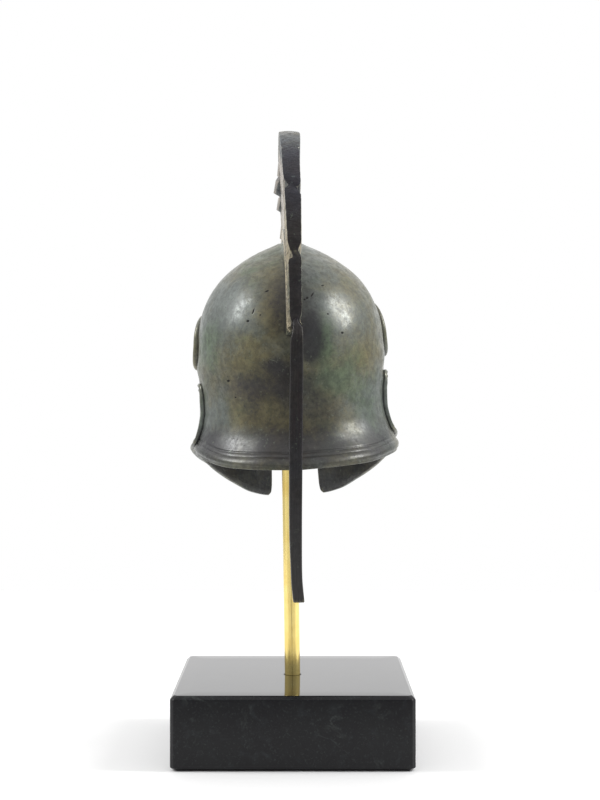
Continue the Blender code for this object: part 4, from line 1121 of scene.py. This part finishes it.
# ------------------------------------------------------------------ the crest
# A second bronze casting, shaped as stiff horsehair: a fan of nine combed tufts that rises from a
# curved holder, set on the crown's ridge, and a long tail that hangs from the last tuft behind the
# neck. Its outer edge and its tail are blackened, and its side faces are rubbed to gold.
GAP = 0.3  # between the holder and the ridge
HOLDER_HEIGHT = 4.0
HOLDER_FROM, HOLDER_TO = 171.0, 1.0  # degrees along the dome's middle arc, 0 at the rear
HOLDER_HALF_FRONT, HOLDER_HALF_REAR = 3.3, 2.2
HOLDER_SOFT = 0.7
HOLDER_END_SOFT = 2.6
HOLDER_END_LEAST = 0.02  # share of its section that is left at the very ends
HOLDER_OVER_DOME = 4.0  # its height over the dome, on the average
HOLDER_STATIONS = 150
PLUME_CENTRE = (4.0, 52.0)  # y and z of the middle of its outer ellipse
PLUME_LENGTH, PLUME_HEIGHT = 50.5, 63.4  # the ellipse's half axes
TUFT_STATIONS = 60
PLUME_SIZES = np.array(
    [
        # share of the way from front to tail, thickness of the body's +X and -X halves and of half the
        # outer edge, and how far the middle of that edge lies to the +X side
        (0.0, 1.5, 1.5, 1.3, 0.0),
        (0.144, 1.6, 1.6, 1.5, 0.0),
        (0.175, 2.0, 1.9, 1.9, 0.0),
        (0.217, 2.3, 2.0, 2.2, 0.0),
        (0.26, 2.8, 2.2, 2.7, 0.0),
        (0.30, 3.1, 2.2, 3.1, 0.0),
        (0.42, 3.4, 2.2, 3.4, 0.25),
        (0.52, 3.4, 2.2, 3.35, 0.3),
        (0.57, 3.4, 2.2, 3.5, 0.14),
        (0.70, 3.0, 2.1, 2.95, 0.22),
        (0.77, 2.85, 2.1, 2.75, -0.05),
        (0.82, 2.75, 2.1, 2.5, -0.2),
        (0.94, 2.4, 2.2, 2.05, -0.45),
        (1.0, 2.3, 2.2, 2.0, -0.5),
    ],
    dtype=[(c, float) for c in ("share", "left_body", "right_body", "edge", "middle")],
)
EDGE_FROM = 0.5  # share of the way out at which the body starts to thin or swell to the edge
NOTCHES = np.array(
    [
        # angle of the joint, its depth in the outer edge, and for its +X and its -X notch: how far it
        # is moved towards the tail, the share of the thickness it leaves, and the lengths over which
        # it opens before and after
        (180.0, 1.3, 0.0, 0.6, 2.5, 2.5, 0.0, 0.6, 2.5, 2.5),
        (161.0, 1.3, 0.0, 0.6, 2.5, 2.5, 0.0, 0.6, 2.5, 2.5),
        (141.0, 1.3, 0.0, 0.6, 2.5, 2.5, 0.0, 0.6, 2.5, 2.5),
        (121.0, 1.3, 0.0, 0.7, 2.5, 2.5, 0.0, 0.7, 2.5, 2.5),
        (101.0, 1.2, 0.0, 0.75, 2.5, 2.5, 0.0, 0.75, 2.5, 2.5),
        (81.0, 0.8, 0.0, 0.9, 2.5, 1.5, 0.0, 0.9, 2.5, 1.5),
        (59.0, 0.12, 0.0, 0.96, 2.0, 1.5, 0.0, 0.84, 1.0, 1.8),
        (38.9, 0.4, -0.7, 0.42, 3.4, 1.3, 0.6, 0.3, 1.8, 2.8),
        (16.6, 0.5, 1.8, 0.25, 5.4, 1.1, -0.6, 0.5, 2.8, 3.0),
        (-5.0, 0.5, 0.0, 0.35, 2.4, 1.0, -1.0, 0.5, 3.2, 1.0),
    ],
    dtype=[("angle", float), ("depth", float)] + [
        (side + c, float) for side in ("left_", "right_") for c in ("at", "kept", "before", "after")
    ],
)
NOTCH_FROM, NOTCH_TO = 0.3, 0.9  # shares of the way out between which a notch opens
TUFT_ENDS = NOTCHES["angle"]
ROOT_HALF = 1.9  # the most that half the hair's thickness may be in the holder
ROOT_SHARE, ROOT_SWELL = 0.3, 0.8  # shares of the way out between which it is let go
PLUME_INSET = 2.0  # degrees that the hair's root stays inside the holder's ends
PLUME_ROWS = 40
EDGE_SOFT = 0.35
EDGE_ROUND = 0.25  # how far the middle of the outer edge stands out
STRANDS_PER_TUFT = 7
STRAND_RISE = 0.34
STRAND_MIDDLE = 0.64  # the mean of the ribs' profile
STRAND_FADE_IN, STRAND_FADE_OUT, STRAND_FADE = (0.12, 0.3), (0.86, 1.0), 0.75


def tuft_swell(within):
    """Round profile of one tuft between its two joints, 0 at the joints and 1 over its middle: one
    less the fifth power of the share of the way from the middle."""
    return 1 - np.abs(2 * within - 1) ** 5


def tuft_place(angle):
    """Number of the tuft at an angle on the outer ellipse, and the place in it from 0 to 1."""
    ends = TUFT_ENDS[::-1]
    tuft = np.clip(np.searchsorted(ends, angle, side="right") - 1, 0, len(ends) - 2)
    return tuft, (angle - ends[tuft]) / (ends[tuft + 1] - ends[tuft])


def notch_share(angle, side):
    """Share of the thickness that the notches of one face leave at an angle: the least of what each
    joint leaves, which rises from its notch as one less a power of the rest of the way."""
    mm_per_degree = math.radians((PLUME_LENGTH + PLUME_HEIGHT) / 2)
    least = np.ones_like(angle)
    for joint in NOTCHES:
        past = (joint["angle"] - angle) * mm_per_degree - joint[side + "at"]
        slope = np.where(past < 0, joint[side + "before"], joint[side + "after"])
        rest = 1 - np.clip(np.abs(past) / slope, 0, 1)
        least = np.minimum(least, joint[side + "kept"] + (1 - joint[side + "kept"]) * (1 - rest**1.5))
    return least


def plume_stations():
    """Angles on the outer ellipse, closer together beside the joints, and the places in the tufts."""
    spread = (1 - np.cos(np.linspace(0, np.pi, TUFT_STATIONS + 1))) / 2
    angle = [start + (end - start) * spread[:-1] for start, end in zip(TUFT_ENDS, TUFT_ENDS[1:])]
    within = np.append(np.tile(spread[:-1], len(angle)), 1.0)
    return np.append(np.concatenate(angle), TUFT_ENDS[-1]), within


def strand_relief(tuft, place, row):
    """Ribs that run from the holder to the edge: the absolute cosine of the place in the tuft, which
    wanders a little on the way out. They are uneven across the tuft and fade at both ends."""
    wander = 0.10 * np.sin(3.0 * row + 1.7 * tuft) + 0.05 * np.sin(7.0 * row + 2.9 * tuft)
    rib = np.abs(np.cos(np.pi * (STRANDS_PER_TUFT * place + wander * np.sin(np.pi * place) * 4)))
    uneven = 0.75 + 0.25 * np.sin(17.0 * place + 2.3 * tuft)
    fade = smooth_step(row, *STRAND_FADE_IN) * (1 - STRAND_FADE * smooth_step(row, *STRAND_FADE_OUT))
    return STRAND_RISE * (rib - STRAND_MIDDLE) * uneven * fade


def make_plume():
    """The fan of hair. Each of its sections stands on the holder and goes out along one face, round
    the outer edge's two rounded corners and back along the other face."""
    angle, within = plume_stations()
    share = (TUFT_ENDS[0] - angle) / (TUFT_ENDS[0] - TUFT_ENDS[-1])
    bulge = np.interp(-angle, -NOTCHES["angle"], NOTCHES["depth"]) * (tuft_swell(within) - 1)
    outer = np.stack([
        PLUME_CENTRE[0] + (PLUME_LENGTH + bulge) * np.cos(np.radians(angle)),
        PLUME_CENTRE[1] + (PLUME_HEIGHT + bulge) * np.sin(np.radians(angle)),
    ], axis=-1)
    arc = HOLDER_FROM - PLUME_INSET + (HOLDER_TO - HOLDER_FROM + 2 * PLUME_INSET) * share
    inner = dome_point(arc, 0.0, ridge_rise(arc) + GAP + HOLDER_HEIGHT / 2)[:, 1:]
    length = np.linalg.norm(outer - inner, axis=1)
    edge, middle = (curve_through(PLUME_SIZES["share"], PLUME_SIZES[c], share) for c in ("edge", "middle"))
    tuft, place = tuft_place(angle)
    bend = np.linspace(0, np.pi / 2, 7)[1:]
    faces = []
    for side, name in ((1, "left_"), (-1, "right_")):
        kept = notch_share(angle, name)
        body = curve_through(PLUME_SIZES["share"], PLUME_SIZES[name + "body"], share)
        soft = np.minimum(EDGE_SOFT, 0.4 * edge * kept)
        row = np.linspace(0, 1, PLUME_ROWS)[None] * (1 - soft / length)[:, None]
        out = smooth_step(row, EDGE_FROM, 1.0)
        wide = body[:, None] * (1 - out) + edge[:, None] * out
        wide = wide * (1 - (1 - kept[:, None]) * smooth_step(row, NOTCH_FROM, NOTCH_TO))
        wide = wide + strand_relief(tuft[:, None], place[:, None], row)
        root = smooth_step(row, ROOT_SHARE, ROOT_SWELL)
        wide = np.minimum(wide, ROOT_HALF) * (1 - root) + wide * root
        corner_row = 1 - (soft / length)[:, None] * (1 - np.sin(bend))
        corner_wide = wide[:, -1:] - soft[:, None] * (1 - np.cos(bend))
        row, wide = np.hstack([row, corner_row]), np.hstack([wide, corner_wide])
        flat = inner[:, None] + (outer - inner)[:, None] * row[..., None]
        off = middle[:, None] * smooth_step(row, EDGE_FROM, 1.0)
        faces.append(np.concatenate([(side * wide + off)[..., None], flat], axis=-1))
    left, right = faces[0], faces[1][:, ::-1]
    share = np.linspace(0, 1, 8)[None, 1:-1, None]
    across = left[:, -1:] + (right[:, :1] - left[:, -1:]) * share
    outward = ((outer - inner) / length[:, None])[:, None]
    across[..., 1:] += outward * EDGE_ROUND * (1 - (2 * share - 1) ** 2)
    return closed_loft("crest_casting", np.concatenate([left, across, right], axis=1))


def rounded_box(half_x, half_y, soft, side_points=6):
    """Closed outline of a rectangle, as x and y arrays with one row for each of the given sizes. Its
    corners are quarter circles, and each straight side has a few points in between."""
    turn = np.linspace(0, np.pi / 2, 5)
    share = np.linspace(0, 1, side_points)[1:-1]
    half_x, half_y, soft = (np.asarray(v, float)[..., None] for v in (half_x, half_y, soft))
    signs = ((1, 1), (-1, 1), (-1, -1), (1, -1))
    xs, ys = [], []
    for quarter, (sx, sy) in enumerate(signs):
        around = turn + quarter * np.pi / 2
        xs.append(sx * (half_x - soft) + soft * np.cos(around))
        ys.append(sy * (half_y - soft) + soft * np.sin(around))
        next_sx, next_sy = signs[(quarter + 1) % 4]
        along_x = (next_sx * (half_x - soft) - xs[-1][..., -1:]) * (next_sx != sx)
        along_y = (next_sy * (half_y - soft) - ys[-1][..., -1:]) * (next_sy != sy)
        xs.append(xs[-1][..., -1:] + along_x * share)
        ys.append(ys[-1][..., -1:] + along_y * share)
    return np.concatenate(xs, axis=-1), np.concatenate(ys, axis=-1)


def make_holder():
    """The curved bar on the ridge. Its section is a rounded rectangle that shrinks to nothing along a
    quarter circle at both ends."""
    arc = np.linspace(HOLDER_FROM, HOLDER_TO, HOLDER_STATIONS)
    mm_per_degree = np.radians(SECTIONS[0]["rear"] + HOLDER_OVER_DOME)
    near = np.linspace(0, HOLDER_END_SOFT / mm_per_degree, 9)[:-1]
    arc = np.concatenate([HOLDER_FROM - near, arc[3:-3], (HOLDER_TO + near)[::-1]])
    from_end = np.minimum(HOLDER_FROM - arc, arc - HOLDER_TO) * mm_per_degree
    shrink = np.sqrt(1 - (1 - np.clip(from_end / HOLDER_END_SOFT, 0, 1)) ** 2)
    shrink = np.maximum(shrink, HOLDER_END_LEAST)
    share = (HOLDER_FROM - arc) / (HOLDER_FROM - HOLDER_TO)
    half = HOLDER_HALF_FRONT + (HOLDER_HALF_REAR - HOLDER_HALF_FRONT) * share
    x, up = rounded_box(half * shrink, HOLDER_HEIGHT / 2 * shrink, HOLDER_SOFT * shrink)
    middle = ridge_rise(arc) + GAP + HOLDER_HEIGHT / 2
    points = dome_point(arc[:, None], np.zeros_like(x), middle[:, None] + up)
    points[..., 0] = x
    return closed_loft("holder", points)


# The tail hangs clear of the neck guard, from inside the plume's last tuft to a square end.
TAIL = np.array(
    [
        # height, middle_y, depth, thickness, sideways
        (53.0, 50.6, 3.6, 1.2, -0.4),
        (49.5, 51.6, 4.4, 1.3, -0.4),
        (47.5, 52.4, 5.2, 1.5, -0.4),
        (45.6, 53.1, 6.0, 3.0, -1.0),
        (43.5, 53.5, 6.8, 3.5, -0.9),
        (41.4, 53.6, 7.0, 4.0, -0.65),
        (36.0, 53.6, 7.0, 4.1, -0.6),
        (20.0, 53.8, 7.0, 4.2, -0.3),
        (0.0, 54.0, 6.8, 4.1, 0.0),
        (-20.0, 54.2, 6.5, 3.9, 0.2),
        (-33.0, 54.4, 6.2, 3.5, 0.0),
        (-40.8, 54.5, 6.0, 3.6, -0.6),
    ],
    dtype=[(c, float) for c in ("height", "middle_y", "depth", "thickness", "sideways")],
)
TAIL_END = np.array([(0.24, 0.98), (0.12, 0.94), (0.04, 0.86), (0.0, 0.72)])  # height over it, size
TAIL_SOFT = 0.5
TAIL_STATIONS = 130
END_GROOVES = ((-0.9, 0.10), (0.1, 0.13), (1.0, 0.09))  # place across the rear face, and depth
END_FACE, END_GROOVE_HALF = (2.2, 2.9), 0.3  # distances from its middle, and a groove's half width
FLANK_GROOVES = ((-1.6, 0.10), (0.2, 0.12), (1.7, 0.10))  # the same on its two side faces
FLANK_FACE, FLANK_GROOVE_HALF = (1.2, 1.7), 0.4


def make_tail():
    """The long lock. Its section is a rounded rectangle, less bell-shaped grooves that wander along
    two slow sine waves, and it is a little smaller at its cut end."""
    rows = TAIL[::-1]
    height = np.linspace(TAIL["height"][0], TAIL["height"][-1], TAIL_STATIONS)
    height = np.concatenate([height[:-1], TAIL["height"][-1] + TAIL_END[:, 0]])
    size = {c: curve_through(rows["height"], rows[c], height) for c in rows.dtype.names[1:]}
    shrink = np.ones_like(height)
    shrink[-len(TAIL_END):] = TAIL_END[:, 1]
    half_x, half_y = size["thickness"] / 2 * shrink, size["depth"] / 2 * (1 + (shrink - 1) / 2)
    x, y = rounded_box(half_x, half_y, TAIL_SOFT * shrink, 12)
    wander = (0.18 * np.sin(0.11 * height) + 0.12 * np.sin(0.23 * height + 1))[:, None]
    end = np.sign(y) * smooth_step(np.abs(y), *END_FACE)
    for side, depth in END_GROOVES:
        y = y - end * depth * bell(x - side - wander, END_GROOVE_HALF)
    flank = np.sign(x) * smooth_step(np.abs(x), *FLANK_FACE)
    for side, depth in FLANK_GROOVES:
        x = x - flank * depth * bell(y - side - wander, FLANK_GROOVE_HALF)
    x, y = x + size["sideways"][:, None], y + size["middle_y"][:, None]
    return closed_loft("tail", np.stack([x, y, np.broadcast_to(height[:, None], x.shape)], axis=-1))


# Lock tips on both faces of the plume's front shoulder, in a chain that runs forward and down, each
# one's root under the foot of the one above. They widen and stand out more and more down to their
# cut foot, further so on the +X face.
FRONT_LOCKS = np.array(
    [
        # top_y, top_z, foot_y, foot_z, half_length, top_out, left_out, right_out
        (-2.0, 110.5, -11.0, 102.6, 4.2, 3.0, 4.2, 3.5),
        (-9.5, 105.5, -19.5, 97.6, 4.4, 2.9, 5.45, 3.8),
        (-18.0, 99.5, -27.0, 92.4, 4.2, 2.4, 4.3, 3.4),
        (-26.5, 90.5, -34.0, 82.6, 3.4, 1.7, 3.05, 2.6),
    ],
    dtype=[("top_y", float), ("top_z", float), ("foot_y", float), ("foot_z", float)] + [
        (c, float) for c in ("half_length", "top_out", "left_out", "right_out")
    ],
)
LOCK_STEP_AT, LOCK_STEP_OUT = (0.0, 0.42, 0.54, 1.0), (0.0, 0.4, 0.7, 1.0)  # it stands out with a step
LOCK_BROADEST = 0.65  # share of its length at which it is broadest
LOCK_TIP = 0.35  # share of its breadth at its top
LOCK_UPRIGHT = 0.4  # share of its breadth that is left upwards
LOCK_FOOT_SLOPE = 0.5  # how much lower its foot lies at the plume than at its face, per mm
LOCK_ROOT = 1.0  # where its section starts, from the crest's middle plane


def make_front_locks():
    """The lock tips. From the side each is a leaf that is broadest two thirds of the way down and
    rounds off at its foot: a quarter sine and then a quarter ellipse. Its sections are flattened half
    rounds with a few combed grooves, and the lowest of them slope down towards the plume."""
    locks = []
    t = np.concatenate([np.linspace(0, 0.8, 16), 0.8 + 0.2 * np.sin(np.linspace(0, np.pi / 2, 9))[1:]])
    turn = np.linspace(0, np.pi, 41)
    comb = 1 - 0.06 * np.abs(np.cos(2.5 * turn))
    broad = LOCK_TIP + (1 - LOCK_TIP) * np.sin(np.clip(t / LOCK_BROADEST, 0, 1) * np.pi / 2)
    past = np.clip((t - LOCK_BROADEST) / (1 - LOCK_BROADEST), 0, 1)
    broad = broad * np.sqrt(1.02 - past**2)
    for row in FRONT_LOCKS:
        along_y, along_z = row["foot_y"] - row["top_y"], row["foot_z"] - row["top_z"]
        reach = math.hypot(along_y, along_z)
        for side, foot_out in ((1, row["left_out"]), (-1, row["right_out"])):
            out = row["top_out"] + (foot_out - row["top_out"]) * np.interp(t, LOCK_STEP_AT, LOCK_STEP_OUT)
            x = LOCK_ROOT + (out[:, None] - LOCK_ROOT) * np.sin(turn) ** 0.6 * comb
            away = row["half_length"] * broad[:, None] * np.cos(turn)
            y = row["top_y"] + along_y * t[:, None] - away * along_z / reach
            z = row["top_z"] + along_z * t[:, None] + away * along_y / reach * LOCK_UPRIGHT
            z = z - LOCK_FOOT_SLOPE * (out[:, None] - x) * smooth_step(t[:, None], 0.7, 1.0)
            face = np.stack([side * x, y, z], axis=-1)
            inside = face[:, [-1, 0]] * (0.4, 1, 1)
            locks.append(closed_loft("lock", np.concatenate([face, inside], axis=1)))
    return locks


crest = make_plume()
crest_parts = [make_holder(), make_tail(), *make_front_locks()]
for obj in (crest, *crest_parts):
    lean(obj, CREST_SHIFT_X, CREST_LEAN, CREST_TURN)
merged(crest, "UNION", crest_parts)


# Where the crest's colours lie. A pair of places says where each one starts and where it is full.
# Levels are heights over the rim, and reaches are distances from the plume's middle, 1 on its ellipse.
SIDE_FACE, EDGE_FACE = (0.55, 0.9), (0.7, 0.4)  # how far a face looks sideways
BARE_TOP, BARE_FOOT, BARE_SIDE = (51.0, 48.0), (42.5, 44.0), (-0.6, 0.0)  # patch at the tail's root
BARE_REAR, BARE_RUBBED = (42.0, 44.0), 0.6
TAIL_LEVEL, TAIL_REAR = (50.0, 44.0), (47.0, 48.5)
LOCK_PROUD, LOCK_LEVEL, LOCK_FRONT = (0.2, 0.6), (78.0, 80.0), (8.0, 2.0)
END_REAR, END_TOP, END_FOOT = (44.0, 47.0), (60.0, 56.0), (47.0, 50.0)  # the last tuft's end
EDGE_REACH = (0.9, 0.97)
# TOP_LEVEL and TOP_LESS let the outer edge's black give way near the top: painted light from above.
EDGE_DARK, TOP_LEVEL, TOP_LESS = 1.9, (92.0, 113.0), 0.9
TAIL_DARK, CREST_DARK, CREST_GREEN = 1.9, 0.3, -0.4
COMBED, COMBED_BY_BEND, COMBED_LEAST, COMBED_ON_LOCK = 0.78, 3.0, 0.25, -0.3
RUBBED_DIP = (58.0, 4.5, 0.5)  # level, half height and share of a band that is rubbed less
RUBBED_BY_PLACE = (
    # share more or less, a pair of levels (one far below the tail means all), a pair of reaches (one
    # under 0 means all), and the sides it holds for
    (-0.7, (97.0, 106.0), (0.82, 0.95), "both"),
    (0.3, (84.0, 74.0), (-1.0, 0.0), "both"),
    (-0.3, (-100.0, -99.0), (0.9, 1.0), "both"),
    (-0.35, (72.0, 68.0), (0.9, 0.97), "both"),
    (-0.7, (72.0, 68.0), (0.86, 0.95), "right"),
    (0.25, (72.0, 68.0), (0.9, 0.84), "both"),
)


def blacken(obj):
    """Attributes of the crest's colour, as products of smooth steps. It is rubbed to gold where its
    skin looks sideways, more on its ribs than between them, times the shares of the table. The outer
    edge, the last tuft's end and the tail are black, the edge less so towards its top, which is painted
    light from above. The lock tips are rubbed a little less and aren't blackened, and the bare patch shows
    some metal."""
    points, normals = skin(obj)
    x, y, z = points.T
    z_rim, sideways = z - RIM_HEIGHT, np.abs(normals[:, 0])
    back, up = (y - PLUME_CENTRE[0]) / PLUME_LENGTH, (z_rim - PLUME_CENTRE[1]) / PLUME_HEIGHT
    reach = np.hypot(back, up)
    share = (TUFT_ENDS[0] - np.degrees(np.arctan2(up, back))) / (TUFT_ENDS[0] - TUFT_ENDS[-1])

    bare = smooth_step(z_rim, *BARE_TOP) * smooth_step(z_rim, *BARE_FOOT)
    bare = bare * smooth_step(x - CREST_SHIFT_X, *BARE_SIDE)
    on_tail = smooth_step(z_rim, *TAIL_LEVEL) * smooth_step(y, *TAIL_REAR) * (1 - bare)
    flank = np.abs(x - CREST_SHIFT_X - CREST_LEAN * (z_rim - PIVOT_HEIGHT) + CREST_TURN * y)
    proud = flank - curve_through(PLUME_SIZES["share"], PLUME_SIZES["left_body"], np.clip(share, 0, 1))
    lock = smooth_step(proud, *LOCK_PROUD) * smooth_step(z_rim, *LOCK_LEVEL)
    lock = lock * smooth_step(y, *LOCK_FRONT)

    rubbed = np.clip(COMBED + COMBED_BY_BEND * surface_bend(obj), COMBED_LEAST, 1.0)
    rubbed = rubbed * (1 + COMBED_ON_LOCK * lock) * smooth_step(sideways, *SIDE_FACE) * (1 - on_tail)
    level, half, less = RUBBED_DIP
    rubbed = rubbed * (1 - less * bell(z_rim - level, half))
    for more, levels, reaches, sides in RUBBED_BY_PLACE:
        there = smooth_step(z_rim, *levels) * smooth_step(reach, *reaches)
        if sides == "right":
            there = there * (x < 0)
        rubbed = rubbed * (1 + more * there)
    rubbed = np.maximum(rubbed, BARE_RUBBED * bare * smooth_step(y, *BARE_REAR))

    at_end = smooth_step(y, *END_REAR) * smooth_step(z_rim, *END_TOP) * smooth_step(z_rim, *END_FOOT)
    outer = smooth_step(sideways, *EDGE_FACE) * np.maximum(smooth_step(reach, *EDGE_REACH), at_end)
    outer = outer * (1 - on_tail) * (1 - lock) * (1 - bare)
    # The edge's black gives way towards the top: painted light from above on the upward-facing top.
    edge_dark = EDGE_DARK * outer * (1 - TOP_LESS * smooth_step(z_rim, *TOP_LEVEL))
    store(obj, "rubbed", rubbed)
    store(obj, "dark", edge_dark + TAIL_DARK * on_tail + CREST_DARK)
    store(obj, "warm", np.zeros(len(x)))
    store(obj, "green", np.full(len(x), CREST_GREEN))


CREST_PORES = (
    # x, z, length, width, turn_deg
    (1.1, 210.2, 0.80, 0.34, 8.0),
    (3.3, 207.4, 0.32, 0.30, 0.0),
)


HAIR_BLACK, HAIR_WORN, PORE_BLACK = colour(40, 32, 35), colour(74, 73, 72), colour(24, 22, 20)
FAN_Y, FAN_Z = 2.0, 146.0  # the place that the plume's hair lines run out from
HANG_LEVEL = (148.0, 143.0)  # levels between which they turn to run down
COOL_LEVEL, COOL = (176.0, 190.0), (1.0, 1.04, 1.3, 1.0)  # the plume's top is cooler in tone
WORN_LEVEL, WORN_MOST = (112.0, 62.0), 0.42  # the tail is worn lighter downwards


def make_crest_bronze(group):
    """The same patina, with combed hair lines: on the plume they run out from its root, as stripes of
    the angle about a place in the dome, and on the tail they run down. The tail is worn a little
    lighter towards its end."""
    material, shader = new_material("patinated_bronze_crest", 0.34, 0.75)
    shader.inputs["IOR"].default_value = CREST_WAX
    n = Nodes(material.node_tree)
    patina = patina_on(n, shader, group)
    where = n.add("ShaderNodeTexCoord").outputs["Object"]
    x, y, z = n.add("ShaderNodeSeparateXYZ", None, Vector=where).outputs
    level = n.math("MULTIPLY", z, 1 / MM)
    over = n.math("SUBTRACT", z, FAN_Z * MM)
    angle = n.math("ARCTAN2", over, n.math("SUBTRACT", y, FAN_Y * MM))
    across, along = n.math("MULTIPLY", angle, 0.05), n.math("MULTIPLY", x, 0.3)
    fan = n.add("ShaderNodeCombineXYZ", None, X=across, Y=along, Z=0.0).outputs[0]
    drop = n.add("ShaderNodeMapping", None, Vector=where, Scale=(1, 1, 0.03)).outputs[0]
    on_tail = n.ramp(level, *HANG_LEVEL)
    hair = n.add("ShaderNodeMix", {"data_type": "VECTOR"}, i0=on_tail, i4=fan, i5=drop).outputs[1]
    streak = n.ramp(n.noise(hair, 1900.0, 2.0), 0.50, 0.66)
    tone = n.mix(n.math("MULTIPLY", streak, 0.55), patina.outputs["Color"], HAIR_BLACK)
    tone = n.mix(n.ramp(level, *COOL_LEVEL), tone, n.mix(1.0, tone, COOL, "MULTIPLY"))
    tone = n.mix(n.ramp(level, *WORN_LEVEL, 0.0, WORN_MOST), tone, HAIR_WORN)
    pores = pore_mask(n, where, CREST_PORES)
    n.feed(shader.inputs["Base Color"], n.mix(n.math("MULTIPLY", pores, 0.9), tone, PORE_BLACK))
    height = n.math("SUBTRACT", patina.outputs["Height"], n.math("MULTIPLY", streak, 0.9))
    height = n.math("SUBTRACT", height, n.math("MULTIPLY", pores, 3.0))
    bump = n.add("ShaderNodeBump", None, Strength=0.4, Distance=0.00015, Height=height)
    n.feed(shader.inputs["Normal"], bump.outputs[0])
    return material


blacken(crest)
finish_piece(crest, make_crest_bronze(patina), "crest", 50)

# ------------------------------------------------------------------ the table, the lights and the camera
# A plain white tabletop under a white background, two soft boxes at the camera's sides, and a level
# camera behind the helmet at the height of its neck.
CAMERA_PLACE = (-2.33, 542.8, 122.3)
LENS = 69.75
SENSOR = 36.0
SHIFT_Y = -5 / 800  # of the picture's height
TABLE_LEFT, TABLE_RIGHT, TABLE_NEAR, TABLE_FAR = 500, -500, 170, -420
LIT_HEIGHT = 0.12  # the helmet's middle, in metres, that both lamps look at


def make_floor():
    """One rectangle at the block's underside, most of it behind the block."""
    points = np.array([
        (TABLE_RIGHT, TABLE_FAR, 0), (TABLE_LEFT, TABLE_FAR, 0),
        (TABLE_LEFT, TABLE_NEAR, 0), (TABLE_RIGHT, TABLE_NEAR, 0),
    ], float)
    mesh = bpy.data.meshes.new("floor")
    mesh.from_pydata((points * MM).tolist(), [], [(0, 1, 2, 3)])
    floor = bpy.data.objects.new("floor", mesh)
    bpy.context.scene.collection.objects.link(floor)
    material, shader = new_material("white_table", 0.6, 0.0)
    shader.inputs["Base Color"].default_value = (0.76, 0.76, 0.76, 1)
    shader.inputs["Emission Color"].default_value = (1, 1, 1, 1)
    shader.inputs["Emission Strength"].default_value = 0.02
    mesh.materials.append(material)


def soft_box(name, azimuth, elevation, distance, width, height, power):
    """Rectangular lamp that looks at the helmet's middle. Its azimuth is counted from the camera's
    direction towards +X and its elevation up, both in degrees, and its sizes are in metres."""
    a, e = math.radians(azimuth), math.radians(elevation)
    away = np.array([math.sin(a) * math.cos(e), math.cos(a) * math.cos(e), math.sin(e)])
    lamp = bpy.data.lights.new(name, "AREA")
    lamp.shape, lamp.size, lamp.size_y, lamp.energy = "RECTANGLE", width, height, power
    obj = bpy.data.objects.new(name, lamp)
    obj.location = away * distance + (0, 0, LIT_HEIGHT)
    obj.rotation_euler = (math.pi / 2 - e, 0, math.pi - a)
    bpy.context.scene.collection.objects.link(obj)


# The tent's brightness. Each row holds two values of a direction's x, y or z, and the brightness at
# both, or 0 and 1 where none is given. y is 1 towards the camera and -1 away from it, and z is 1
# straight up.
TENT_BY_Y, TENT_NEAR = (-1.0, -0.72, 0.98, 0.62), (0.1, 0.9, 1.0, 0.72)  # these three are multiplied
TENT_BY_Z = (0.15, 0.45, 1.0, 1.4)
ROOF = (0.3, 1.0, 0.0, 0.28)  # added
BACKDROP = (-0.97, -0.88, 0.36, 0.0)  # added
TABLE_BY_Y, TABLE_TOP, TABLE_END = (0.0, 0.3, 0.0, 0.36), (0.04, -0.04), (-0.34, -0.22)
OPERATOR_BY_X, OPERATOR_BY_Y, OPERATOR_BY_Z = (0.04, 0.16, 0.35, 1.0), (0.5, 0.6), (0.5, 0.2)


def make_world():
    """White where the camera looks. For reflections it is a light tent, brighter beyond the helmet
    and upwards, with a backdrop straight beyond it that shows on grazing faces, a lit table on the
    camera's side, and a narrow dark band where the camera and its operator stand."""
    world = bpy.data.worlds.new("light_tent")
    world.use_nodes = True
    tree = world.node_tree
    n = Nodes(tree)
    direction = n.add("ShaderNodeTexCoord").outputs["Generated"]
    x, y, z = n.add("ShaderNodeSeparateXYZ", None, Vector=direction).outputs
    tent = n.math("MULTIPLY", n.ramp(y, *TENT_BY_Y), n.ramp(y, *TENT_NEAR))
    tent = n.math("MULTIPLY", tent, n.ramp(z, *TENT_BY_Z))
    table = n.math("MULTIPLY", n.ramp(y, *TABLE_BY_Y), n.ramp(z, *TABLE_TOP))
    table = n.math("MULTIPLY", table, n.ramp(z, *TABLE_END))
    tent = n.math("ADD", tent, n.ramp(z, *ROOF))
    level = n.math("ADD", tent, n.math("ADD", table, n.ramp(y, *BACKDROP)))
    operator = n.math("MULTIPLY", n.ramp(y, *OPERATOR_BY_Y), n.ramp(z, *OPERATOR_BY_Z))
    shade = n.math("MULTIPLY", operator, n.ramp(n.math("ABSOLUTE", x), *OPERATOR_BY_X))
    level = n.math("MULTIPLY", level, n.math("ADD", n.math("SUBTRACT", 1.0, operator), shade))
    seen = n.add("ShaderNodeLightPath").outputs["Is Camera Ray"]
    strength = n.add("ShaderNodeMix", None, i0=seen, i2=level, i3=1.0).outputs[0]
    background = tree.nodes["Background"]
    background.inputs["Color"].default_value = (1, 1, 1, 1)
    n.feed(background.inputs["Strength"], strength)
    bpy.context.scene.world = world


make_floor()
soft_box("left_soft_box", azimuth=88, elevation=34, distance=0.85, width=0.22, height=0.38, power=4.1)
soft_box("right_soft_box", azimuth=-84.5, elevation=31, distance=0.85, width=0.20, height=0.42, power=5.2)
make_world()

lens = bpy.data.cameras.new("camera")
lens.lens, lens.sensor_width, lens.sensor_fit = LENS, SENSOR, "AUTO"
lens.shift_y = SHIFT_Y
camera = bpy.data.objects.new("camera", lens)
camera.location = np.array(CAMERA_PLACE) * MM
camera.rotation_euler = (math.pi / 2, 0, math.pi)
bpy.context.scene.collection.objects.link(camera)
bpy.context.scene.camera = camera
bpy.context.scene.view_settings.view_transform = "Standard"
